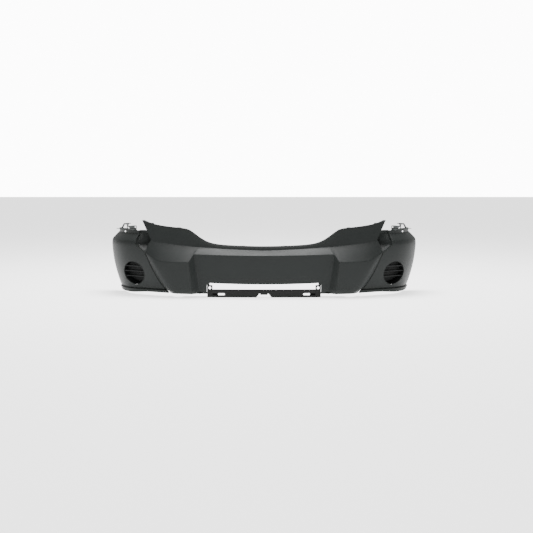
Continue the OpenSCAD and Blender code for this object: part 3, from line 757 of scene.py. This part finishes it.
# %% Corners: rows of the cage
LIP_OUT, POCKET_D, FOOT_FALL = 7, 32, 8
COLUMN_SHARE = [0, 0.07, 0.13, 0.2, 0.26, 0.32, 0.38, 0.44, 0.5, 0.56, 0.61, 0.66, 0.71, 0.76,
                0.8, 0.84, 0.87, 0.9, 0.93, 0.95, 0.97, 0.985, 1]
VALLEY_KEYS = [(235, 0), (254, -6), (281, -20), (306, -36), (330, -24), (357, 2)]
VALLEY_Y = 160
CORNER_HEIGHTS = ([(JOINT_ROWS[0], -LIP_OUT), (LIP_TOP_H, -LIP_OUT), (LIP_TOP_H + 5, 2)]
                  + [(z, 0) for z in JOINT_ROWS[2:]]
                  + [(235, 0), (257.5, 0), (280, 0), (SHOULDER_H + 2, 2), (306, 0), (324, 0),
                     (BEVEL_TOP_H, 0), (BEVEL_TOP_H + FLANGE_H, 0)])


def corner_row(z, more, fall=0):
    start, end = face_start(z) + JOINT_GAP / 2, face_end(z)
    across = [mix(start, end, s) for s in COLUMN_SHARE]
    face = [corner_point(x, z - fall * ease((x - 110) / 170), more) for x in across]
    if z > JOINT_TOP_H:
        back = Vector((X_FOOT + JOINT_RUN + lookup(z, VALLEY_KEYS) + JOINT_GAP,
                       mix(face[0].y + JOINT_FLANGE, VALLEY_Y + 20, ease((z - JOINT_TOP_H) / 45)), z))
        foot = face[0] + Vector((-4, POCKET_D, 0))
    else:
        back = face[0] + Vector((0, JOINT_FLANGE, 0))
        foot = face[0] + Vector((0, JOINT_FLANGE / 2, 0))
    n = plan_out(end)
    return [back, foot] + face + [face[-1] - RETURN_D * n]


def corner_hem():
    """The hem under the corner, mitred into the flanges at both ends."""
    foot = corner_row(BOTTOM_H, -LIP_OUT, FOOT_FALL)
    last = len(foot) - 2
    start, end = face_start(BOTTOM_H), face_end(BOTTOM_H)
    n = plan_out(end)
    along = Vector((n.y, -n.x, 0))
    made = []
    for j, point in enumerate(foot):
        if j < 3:
            made.append(Vector((foot[2].x + MITRE, foot[0].y - j, point.z)))
        elif j < last:
            made.append(point - HEM_IN * plan_out(mix(start, end, COLUMN_SHARE[j - 2])))
        elif j == last:
            made.append(foot[last] - (RETURN_D - 3) * n + MITRE * along)
        else:
            made.append(foot[last] - RETURN_D * n + (MITRE - 2) * along)
    return made


corner_cage = [corner_hem(), corner_row(BOTTOM_H, -LIP_OUT, FOOT_FALL)]
corner_cage += [corner_row(z, more) for z, more in CORNER_HEIGHTS]
LAST_COL = len(corner_cage[0]) - 2
corner_rows_tight = {1: 2, 3: 2, 4: 1.5, 16: 3, 19: 3}
corner_cols_tight = {1: 3, 2: 3, LAST_COL: 3}
print("corner cage", len(corner_cage), "rows of", len(corner_cage[0]))

# %% Fog lamp frame and cutters
FOG_D, FOG_FROM_SIDE, FOG_H = 138, 166, 117
FOG_X = CORNER_W - FOG_FROM_SIDE
FOG_YAW = math.atan(plan_slope(FOG_X))
FOG_PITCH = math.atan(TUCK * TUCK_POWER / SHOULDER_H * (1 - FOG_H / SHOULDER_H) ** (TUCK_POWER - 1))
AT_FOG = (Matrix.Translation(corner_point(FOG_X + inset(FOG_H) * 0.5, FOG_H))
          @ Matrix.Rotation(FOG_YAW, 4, "Z") @ Matrix.Rotation(FOG_PITCH, 4, "X"))
ROUND = 96


def rod(d, start, end, at, segments=ROUND):
    """A round bar along local Y, from start to end."""
    shape = bmesh.new()
    bmesh.ops.create_cone(shape, cap_ends=True, segments=segments, radius1=d / 2, radius2=d / 2,
                          depth=end - start)
    place = at @ Matrix.Translation((0, (start + end) / 2, 0)) @ Matrix.Rotation(math.pi / 2, 4, "X")
    bmesh.ops.transform(shape, matrix=place, verts=shape.verts)
    return shape


SEAT_Z = BEVEL_TOP_H + FLANGE_H
SEAT_FROM, SEAT_TO, SEAT_W, SEAT_L = 225, 325, 30, 150
SEAT_YAW = math.atan2(plan_y(SEAT_TO) - plan_y(SEAT_FROM), SEAT_TO - SEAT_FROM)
seat_at = corner_point(SEAT_FROM, SEAT_Z)
AT_SEAT = Matrix.Translation((seat_at.x, seat_at.y, SEAT_Z)) @ Matrix.Rotation(SEAT_YAW, 4, "Z")
SLOT_HOLE_W, SLOT_HOLE_H = 23, 9


def slot_bar(w, h, start, end, at):
    """A bar along local Y with a long round-ended section."""
    shape = bmesh.new()
    bmesh.ops.create_circle(shape, cap_ends=True, segments=48, radius=h / 2)
    for vert in shape.verts:
        vert.co.x += (w - h) / 2 if vert.co.x > 0 else (h - w) / 2
    thickened(shape, end - start)
    place = at @ Matrix.Translation((0, end, 0)) @ Matrix.Rotation(math.pi / 2, 4, "X")
    bmesh.ops.transform(shape, matrix=place, verts=shape.verts)
    return shape


def corner_cutter():
    oval = AT_SEAT @ Matrix.Translation((SEAT_L / 2 + 4, 0, -FLANGE_H / 2 - 1))
    return gathered(rod(FOG_D, -40, 45, AT_FOG), slot_bar(SLOT_HOLE_W, SLOT_HOLE_H, -30, 30, oval))


for side, turned_over in (("right", False), ("left", True)):
    skin_shape = laid_grid(supported(corner_cage, corner_rows_tight, corner_cols_tight))
    cutter = corner_cutter()
    if turned_over:
        mirrored(skin_shape)
        mirrored(cutter)
    corner = moulded(f"corner_skin_{side}", skin_shape, WALL, 2, cutter=cutter)
    dressed(corner, "grained_plastic", replaced=[f"corner_{side}"])

# %% [markdown]
# ## Small mouldings from flat outlines
# Tabs, brackets and flanges are plates: an outline with its holes, filled, thickened and given
# a fine rounded edge. Round parts are turned: half of their section is spun about an axis.

# %% Helpers for plates and turned parts
def round_loop(x, y, r, segments=32):
    """Points round a hole in a plate."""
    return [(x + r * math.cos(a), y + r * math.sin(a))
            for a in (2 * math.pi * k / segments for k in range(segments))]


def long_loop(x, y, w, h, segments=24):
    """Points round a slot with round ends."""
    half = (w - h) / 2
    return [(px + (half if px > x else -half), py) for px, py in
            round_loop(x, y, h / 2, segments) if abs(px - x) > 1e-6]


def box_loop(x0, y0, x1, y1):
    return [(x0, y0), (x1, y0), (x1, y1), (x0, y1)]


def rounded_loop(points, radius, steps=4):
    """An outline with each corner replaced by a short curve."""
    made = []
    for k, point in enumerate(points):
        here = Vector(point)
        before, after = Vector(points[k - 1]), Vector(points[(k + 1) % len(points)])
        into = (before - here).normalized() * min(radius, (before - here).length / 2.1)
        out = (after - here).normalized() * min(radius, (after - here).length / 2.1)
        for t in (q / steps for q in range(steps + 1)):
            curve = here + into * (1 - t) ** 2 + out * t ** 2
            made.append((curve.x, curve.y))
    return made


def plate(outline, thick, holes=(), at=Matrix.Identity(4)):
    """A plate in the XY plane of a place, its thickness going up from zero."""
    shape = thickened(drawn(outline, holes), thick)
    bmesh.ops.transform(shape, matrix=at, verts=shape.verts)
    return shape


def turned(section, at=Matrix.Identity(4), steps=48):
    """A section of (radius, height) points spun about Z, then put in place."""
    shape = bmesh.new()
    verts = [shape.verts.new((r, 0, z)) for r, z in section]
    edges = [shape.edges.new(pair) for pair in zip(verts, verts[1:])]
    bmesh.ops.spin(shape, geom=verts + edges, cent=(0, 0, 0), axis=(0, 0, 1),
                   angle=2 * math.pi, steps=steps, use_merge=True)
    bmesh.ops.remove_doubles(shape, verts=shape.verts, dist=1e-5)
    bmesh.ops.recalc_face_normals(shape, faces=shape.faces)
    bmesh.ops.transform(shape, matrix=at, verts=shape.verts)
    return shape


def columned(shape, step):
    """Cuts a shape at even steps along X, so that it can be bent."""
    low = min(v.co.x for v in shape.verts)
    high = max(v.co.x for v in shape.verts)
    for k in range(1, int((high - low) / step)):
        bmesh.ops.bisect_plane(shape, geom=shape.verts[:] + shape.edges[:] + shape.faces[:],
                               dist=1e-5, plane_co=(low + k * step, 0, 0), plane_no=(1, 0, 0))
    return shape


def made_piece(name, shape, slot, replaced, side=1, edge=0.4, angle=35, body="cover"):
    """A finished small piece: put in the frame, edges rounded, smooth, dressed."""
    if side < 0:
        mirrored(shape)
    bmesh.ops.transform(shape, matrix=TO_FRAME, verts=shape.verts)
    piece = finished_mesh(name, shape)
    if edge:
        rounding = piece.modifiers.new("edge", "BEVEL")
        rounding.width, rounding.segments = edge / 1000, 2
        rounding.limit_method = "ANGLE"
        rounding.angle_limit = math.radians(40)
        rounding.use_clamp_overlap = True
        applied(piece)
    smoothed(piece, angle)
    return dressed(piece, slot, body, replaced)


SIDES = (("right", 1), ("left", -1))

# %% [markdown]
# ## Tabs of the fascia
# Six tabs stand behind the top edge: two hold the grille and four hold the lamp panels through
# clip nuts. Pads under the blocks carry the push-in retainers. They belong to the same
# moulding, so they share its finish.

# %% Fascia tabs and pads
TAB_W, TAB_L, TAB_T, TAB_DROP, TAB_END, TAB_HOLE_D = 28, 42, 3, 0.5, 13, 7
TABS_X = [120, HALF_W - 420, HALF_W - 265]
RETAINERS_X = [X_FOOT - 80 - 26, X_FOOT - 80 - 96]
RETAINER_Y, PAD_T, SLEEVE_BORE_D = 84, 3, 8.2


def top_at(x):
    s = x / TIP_X
    deep = lookup(s, [(k[0], k[1]) for k in TOP_KEYS])
    high = lookup(s, [(k[0], k[2]) for k in TOP_KEYS])
    return Vector((x, TOP_EDGE_Y + deep, mix(TOP_EDGE_H, TIP_H, high)))


def tab_place(x):
    back = -1.6 if x < PANEL_HALF else 0.8
    return Matrix.Translation(top_at(x) + Vector((0, back, -TAB_DROP)))


def fascia_tabs():
    parts = []
    for x in TABS_X:
        outline = rounded_loop(box_loop(-TAB_W / 2, 1, TAB_W / 2, TAB_L), 5)
        hole = round_loop(0, TAB_L - TAB_END, TAB_HOLE_D / 2)
        at = tab_place(x)
        parts.append(plate(outline, TAB_T, [hole], at @ Matrix.Translation((0, 0, -TAB_T))))
        for rib in (-TAB_W / 2 + 1, 0, TAB_W / 2 - 1):
            side_on = at @ Matrix.Translation((rib - 1, 0, 0)) @ Matrix(
                ((0, 0, 1, 0), (1, 0, 0, 0), (0, 1, 0, 0), (0, 0, 0, 1)))
            parts.append(plate([(2, -3), (2, -12), (9.5, -12), (18, -3)], 2, at=side_on))
    pad = box_loop(RETAINERS_X[1] - 18, 38, RETAINERS_X[0] + 18, 100)
    holes = [round_loop(x, RETAINER_Y, SLEEVE_BORE_D / 2) for x in RETAINERS_X]
    pad_at = Matrix.Translation((0, 0, BOTTOM_H + 0.4))
    parts.append(plate(rounded_loop(pad, 6), PAD_T, holes, pad_at))
    return gathered(*parts)


for side, sign in SIDES:
    made_piece(f"fascia_tabs_{side}", fascia_tabs(), "grained_plastic", ["centre_fascia"], sign)

# %% [markdown]
# ## Lower valance
# A thin dark band under the air opening: a front wall bent to the bow of the panel, a flange
# along its top and its foot, an ear at each end, and a plate under each block for the
# retainers. The front wall is drawn flat, cut into columns and then bent.

# %% Lower valance
VALANCE_BACK, VALANCE_WALL, VALANCE_FOOT, VALANCE_H = 8, 3, 40, 42
SLOT_W, SLOT_H, SLOT_Z = 69, 11, 17.5
SLOT_X = VALANCE_HALF - 29 - SLOT_W / 2
EAR_W, EAR_H, EAR_HOLE_D, EAR_HOLE_Z = 30, EAR_TOP + VALANCE_DROP, 15, 52.5
SHELF_DEPTH, FLANGE_LAP, PLATE_FRONT, PLATE_BACK, PLATE_INNER = 26, 0.5, 62, 100, 60
NOTCH_HALF, NOTCH_H, TOW_HALF, TOW_Z = 42, 21, 20, 14
PLATE_UP = BOTTOM_H - VALANCE_WALL
BEND_STEP = 15


def bent(shape):
    """Bends a straight shape to the bow of the panel."""
    columned(shape, BEND_STEP)
    for vert in shape.verts:
        vert.co.y += panel_y(vert.co.x) + VALANCE_BACK
    return shape


def valance():
    low = [(NOTCH_HALF, 0), (NOTCH_HALF - 10, 12), (NOTCH_HALF - 16, NOTCH_H), (TOW_HALF, NOTCH_H),
           (TOW_HALF, TOW_Z)]
    high = [(VALANCE_HALF, EAR_H), (VALANCE_HALF - EAR_W, EAR_H), (VALANCE_HALF - EAR_W, VALANCE_H)]
    half_line = rounded_loop([low[-1], *reversed(low[:-1]), (VALANCE_HALF, 0), *high], 2.5, 3)[4:-4]
    right = [low[-1]] + half_line + [high[-1]]
    outline = right + [(-x, z) for x, z in reversed(right)]
    holes = []
    for sign in (-1, 1):
        holes.append(long_loop(sign * SLOT_X, SLOT_Z, SLOT_W, SLOT_H))
        holes.append(round_loop(sign * (VALANCE_HALF - EAR_W / 2), EAR_HOLE_Z, EAR_HOLE_D / 2))
    wall = bent(upright(thickened(drawn(outline, holes), VALANCE_WALL), 0))
    parts = [wall]
    flange_front = VALANCE_WALL - FLANGE_LAP
    shelf = box_loop(-VALANCE_HALF + EAR_W, flange_front, VALANCE_HALF - EAR_W, SHELF_DEPTH)
    under_top = Matrix.Translation((0, 0, VALANCE_H - VALANCE_WALL))
    parts.append(bent(plate(shelf, VALANCE_WALL, at=under_top)))
    for sign in (-1, 1):
        inner, outer = sorted((sign * (NOTCH_HALF + 1), sign * VALANCE_HALF))
        foot = box_loop(inner, flange_front, outer, VALANCE_FOOT)
        parts.append(bent(plate(foot, VALANCE_WALL)))
        inner, outer = sorted((sign * (VALANCE_HALF - PLATE_INNER), sign * (RETAINERS_X[0] + 20)))
        holes = [round_loop(sign * x, RETAINER_Y, SLEEVE_BORE_D / 2) for x in RETAINERS_X]
        under = rounded_loop(box_loop(inner, PLATE_FRONT, outer, PLATE_BACK), 5)
        parts.append(plate(under, VALANCE_WALL, holes,
                           Matrix.Translation((0, 0, PLATE_UP + VALANCE_DROP))))
        inner, outer = sorted((sign * (VALANCE_HALF - PLATE_INNER), sign * (VALANCE_HALF - 10)))
        web = box_loop(inner, PLATE_FRONT, outer, PLATE_FRONT + VALANCE_WALL)
        parts.append(plate(web, PLATE_UP + VALANCE_DROP + 1))
    whole = gathered(*parts)
    bmesh.ops.translate(whole, verts=whole.verts, vec=(0, 0, -VALANCE_DROP))
    return whole


made_piece("valance", valance(), "black_plastic", ["lower_valance"])
print("valance, half width", VALANCE_HALF)

# %% [markdown]
# ## Lamp blanks
# Behind each round opening sits a black cup with three slats across it. The cup is turned from
# a section with a rounded lip, and its ring and ears are screwed to bosses of the corner.

# %% Lamp blanks and their screws
INSERT_WALL, CUP_GAP, CUP_D, CUP_FRONT = 2.5, 0.6, 52, 4
SLAT_COUNT, SLAT_T, SLAT_D, SLAT_LIFT = 3, 7, 18, 10
SLAT_GAP = 0.86 * FOG_D / (SLAT_COUNT + 1)
BOSS_D, BOSS_RING, BOSS_END, SCREW_D, SCREW_HEAD_D = 12, FOG_D / 2 + 13, 24, 5, 10
BOSS_ANGLES = (90, 210, 330)
CUP_R = FOG_D / 2 - CUP_GAP
INWARDS = Matrix.Rotation(-math.pi / 2, 4, "X")


def slat(z):
    """A slat with a rounded front whose ends follow the round wall of the cup."""
    section = rounded_loop([(0, -SLAT_T / 2), (SLAT_D, -SLAT_T / 2 + 1), (SLAT_D, SLAT_T / 2 - 1),
                            (0, SLAT_T / 2)], 3.2, 5)
    shape = thickened(drawn(section), 2)
    turn = Matrix(((0, 0, 1, -1), (1, 0, 0, CUP_FRONT + 4), (0, 1, 0, z), (0, 0, 0, 1)))
    bmesh.ops.transform(shape, matrix=turn, verts=shape.verts)
    for vert in shape.verts:
        reach = math.sqrt((CUP_R - INSERT_WALL + 1) ** 2 - vert.co.z ** 2)
        vert.co.x = math.copysign(reach, vert.co.x)
    return shape


def insert():
    r, w = CUP_R, INSERT_WALL
    section = [(0, CUP_D), (r - 3, CUP_D), (r - 0.8, CUP_D - 0.8), (r, CUP_D - 3), (r, CUP_FRONT + 1),
               (r - 0.4, CUP_FRONT + 0.2), (r - w / 2, CUP_FRONT), (r - w + 0.4, CUP_FRONT + 0.2),
               (r - w, CUP_FRONT + 1), (r - w, CUP_D - w - 3), (r - w - 0.8, CUP_D - w - 0.8),
               (r - w - 3, CUP_D - w), (0, CUP_D - w)]
    parts = [turned(section, INWARDS, ROUND)]
    parts.append(turned([(r - 0.5, BOSS_END), (r + 7, BOSS_END), (r + 7, BOSS_END + w),
                         (r - 0.5, BOSS_END + w), (r - 0.5, BOSS_END)], INWARDS, ROUND))
    for angle in BOSS_ANGLES:
        a = math.radians(angle)
        at = Matrix.Translation((BOSS_RING * math.cos(a), 0, BOSS_RING * math.sin(a))) @ INWARDS
        parts.append(turned([(2.7, BOSS_END), (8, BOSS_END), (8, BOSS_END + w), (2.7, BOSS_END + w),
                             (2.7, BOSS_END)], at, 32))
    for k in range(SLAT_COUNT):
        parts.append(slat((k - (SLAT_COUNT - 1) / 2) * SLAT_GAP + SLAT_LIFT))
    whole = gathered(*parts)
    bmesh.ops.transform(whole, matrix=AT_FOG, verts=whole.verts)
    return whole


def hex_screw(length, at, head_d=SCREW_HEAD_D, shank_d=SCREW_D - 1):
    """A flanged hexagon-head screw whose head stands up from zero."""
    r = head_d / 2
    flange = turned([(0, 1.0), (r - 0.5, 0.9), (r, 0.4), (r, 0), (shank_d / 2, 0),
                     (shank_d / 2, -length + 1.5), (shank_d / 2 - 1, -length), (0, -length)], steps=24)
    hexagon = bmesh.new()
    bmesh.ops.create_cone(hexagon, cap_ends=True, segments=6, radius1=r * 0.78, radius2=r * 0.78,
                          depth=2.3)
    bmesh.ops.translate(hexagon, verts=hexagon.verts, vec=(0, 0, 1.85))
    whole = gathered(flange, hexagon)
    bmesh.ops.transform(whole, matrix=at, verts=whole.verts)
    return whole


def insert_screws():
    made = []
    for angle in BOSS_ANGLES:
        a = math.radians(angle)
        place = Matrix.Translation((BOSS_RING * math.cos(a), BOSS_END + INSERT_WALL,
                                    BOSS_RING * math.sin(a)))
        made.append(hex_screw(14, AT_FOG @ place @ INWARDS))
    return gathered(*made)


SKIN_TREE = BVHTree.FromObject(bpy.data.objects["corner_skin_right"],
                               bpy.context.evaluated_depsgraph_get())


def skin_depth(x, z):
    """How far behind the plane of the opening the outer face of the corner lies."""
    start = TO_FRAME @ AT_FOG @ Vector((x, -60, z))
    inwards = (TO_FRAME @ AT_FOG).to_3x3() @ Vector((0, 1, 0))
    hit = SKIN_TREE.ray_cast(start, inwards.normalized())[0]
    return (hit - start).length * 1000 - 60 if hit else 0.0


def bosses():
    """The three bosses that stand behind each corner skin and take the screws."""
    made = []
    for angle in BOSS_ANGLES:
        a = math.radians(angle)
        x, z = BOSS_RING * math.cos(a), BOSS_RING * math.sin(a)
        near = max(skin_depth(x + dx, z + dz) for dx, dz in
                   ((0, 0), (-6, 0), (6, 0), (0, -6), (0, 6))) + 3
        at = AT_FOG @ Matrix.Translation((x, 0, z)) @ INWARDS
        if near < BOSS_END - 1:
            made.append(turned([(2, BOSS_END), (BOSS_D / 2, BOSS_END), (BOSS_D / 2, near),
                                (2, near), (2, BOSS_END)], at, 32))
    return gathered(*made)


for side, sign in SIDES:
    made_piece(f"lamp_blank_{side}", insert(), "insert_plastic", [f"fog_insert_{side}"], sign, 0)
    made_piece(f"blank_screws_{side}", insert_screws(), "black_screw",
               [f"fog_screws_{side}"], sign, 0.25)
    made_piece(f"corner_bosses_{side}", bosses(), "grained_plastic", [f"corner_{side}"], sign, 0)
print("lamp blanks, cup radius", CUP_R)

# %% [markdown]
# ## Fender brackets
# A lighter moulding stands on each corner: a foot, an upright with windows, and a tab at its
# peak for the clip that catches the fender.

# %% Fender brackets and their screws
BRACKET_T, BRACKET_L, BRACKET_H, CLIP_AT = 2.5, 190, 34, 118
CLIP_TAB_Y, CLIP_TAB_L, CLIP_TAB_END, CLIP_TAB_HALF = SEAT_W - 11, 26, 11, 16
BRACKET_SCREWS_AT = (30, 120)


def fender_bracket():
    holes = [round_loop(s, SEAT_W / 2 - 4, 2.7, 24) for s in BRACKET_SCREWS_AT]
    foot = plate(rounded_loop(box_loop(2, -2, 2 + BRACKET_L, SEAT_W - 8), 3), BRACKET_T, holes)
    outline = [(0, 0), (0, 25), (26, 25), (CLIP_AT - 30, 20), (CLIP_AT - 20, BRACKET_H),
               (CLIP_AT + 20, BRACKET_H), (BRACKET_L - 24, 9), (BRACKET_L, 7), (BRACKET_L, 0)]
    windows = [box_loop(6, 12, 20, 20), [(CLIP_AT - 46, 6), (CLIP_AT - 20, 6), (CLIP_AT - 20, 17)],
               [(CLIP_AT - 12, 6), (CLIP_AT + 32, 6), (CLIP_AT + 14, 26), (CLIP_AT - 12, 26)]]
    face = drawn(rounded_loop(outline, 3), [rounded_loop(w, 1.5, 3) for w in windows])
    wall = upright(thickened(face, BRACKET_T), SEAT_W - 10 - BRACKET_T / 2)
    bmesh.ops.translate(wall, verts=wall.verts, vec=(2, 0, 0))
    tab_outline = box_loop(CLIP_AT - CLIP_TAB_HALF, CLIP_TAB_Y,
                           CLIP_AT + CLIP_TAB_HALF, CLIP_TAB_Y + CLIP_TAB_L)
    hole = round_loop(CLIP_AT, CLIP_TAB_Y + CLIP_TAB_L - CLIP_TAB_END, TAB_HOLE_D / 2)
    tab = plate(rounded_loop(tab_outline, 4), BRACKET_T, [hole],
                Matrix.Translation((0, 0, BRACKET_H - BRACKET_T)))
    whole = gathered(foot, wall, tab)
    bmesh.ops.transform(whole, matrix=AT_SEAT, verts=whole.verts)
    return whole


def bracket_screws():
    return gathered(*[hex_screw(14, AT_SEAT @ Matrix.Translation((s, SEAT_W / 2 - 4, BRACKET_T)))
                      for s in BRACKET_SCREWS_AT])


def bracket_seat():
    """The ledge behind the flange of the corner that the bracket stands on."""
    holes = [round_loop(s, SEAT_W / 2 - 4, 2, 24) for s in BRACKET_SCREWS_AT]
    return plate(rounded_loop(box_loop(4, -1.5, 4 + SEAT_L, -4 + SEAT_W), 3), 3, holes,
                 AT_SEAT @ Matrix.Translation((0, 0, -3)))


for side, sign in SIDES:
    made_piece(f"fender_bracket_{side}_moulding", fender_bracket(), "grey_plastic",
               [f"fender_bracket_{side}"], sign, 0.5)
    made_piece(f"bracket_screws_{side}_heads", bracket_screws(), "black_screw",
               [f"bracket_screws_{side}"], sign, 0.25)
    made_piece(f"bracket_seat_{side}", bracket_seat(), "grained_plastic",
               [f"corner_{side}"], sign, 0.5)
print("bracket length", BRACKET_L)

# %% [markdown]
# ## Push-in retainers
# Each retainer is a sleeve with a broad head and a pin with a lightly domed head. A real sleeve
# is split, and this one is drawn whole. The pin is a moving piece, so each one is its own
# object and rides on its own body.

# %% Retainers
SLEEVE_D, SLEEVE_HEAD_D, SLEEVE_HEAD_H, SLEEVE_L = 8, 18, 2, 16
PIN_D, PIN_GAP, PIN_HEAD_D, PIN_HEAD_H, PIN_L = 4, 0.35, 9, 1.5, 14
SLEEVE_Z = PLATE_UP - SLEEVE_HEAD_H


def sleeve_shape(x):
    bore, r, head = PIN_D / 2 + PIN_GAP, SLEEVE_D / 2, SLEEVE_HEAD_D / 2
    section = [(bore, 0), (6, 0), (head - 0.6, 0.35), (head, 1), (head, SLEEVE_HEAD_H - 0.3),
               (head - 0.3, SLEEVE_HEAD_H), (r, SLEEVE_HEAD_H), (r, 8), (r - 0.4, SLEEVE_L - 1),
               (r - 1, SLEEVE_L), (bore, SLEEVE_L), (bore, 0)]
    return turned(section, Matrix.Translation((x, RETAINER_Y, SLEEVE_Z)), 40)


def pin_shape(x):
    r = PIN_HEAD_D / 2
    section = [(0, 0.25), (1.6, 0), (r - 1, 0.1), (r - 0.2, 0.5), (r, 1), (r, PIN_HEAD_H),
               (PIN_D / 2, PIN_HEAD_H), (PIN_D / 2, PIN_L - 1), (PIN_D / 2 - 0.8, PIN_L),
               (0, PIN_L)]
    low = SLEEVE_Z - PIN_GAP - PIN_HEAD_H
    return turned(section, Matrix.Translation((x, RETAINER_Y, low)), 40)


sleeves = gathered(*[sleeve_shape(sign * x) for sign in (-1, 1) for x in RETAINERS_X])
made_piece("retainer_sleeve_set", sleeves, "nylon_sleeve", ["retainer_sleeves"], edge=0)
for side, sign in SIDES:
    for place, x in zip(("outer", "inner"), RETAINERS_X):
        made_piece(f"pin_{side}_{place}_turned", pin_shape(sign * x), "nylon_pin",
                   [f"retainer_pin_{side}_{place}"], edge=0, body=f"pin_{side}_{place}")

# %% [markdown]
# ## CAD nodes that keep their shape
# Small fixings are right as the CAD has them. Their loose triangles are welded, their edges
# get a small bevel, and they take their own finishes.

# %% Kept nodes
KEPT = {"joint_strip": "black_plastic", "joint_screws": "zinc_screw", "bracket_clip": "dark_clip",
        "wing_clip_nuts": "bright_clip"}
for name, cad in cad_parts.items():
    finish_name = next((v for k, v in KEPT.items() if name.startswith(k)), None)
    if finish_name is None or cad.hide_render:
        continue
    cad.data.materials.clear()
    cad.data.materials.append(FINISHES[finish_name])
    weld = cad.modifiers.new("weld", "WELD")
    weld.merge_threshold = 0.00001
    edge = cad.modifiers.new("edge", "BEVEL")
    edge.width, edge.segments = 0.0004, 2
    edge.limit_method = "ANGLE"
    edge.angle_limit = math.radians(35)
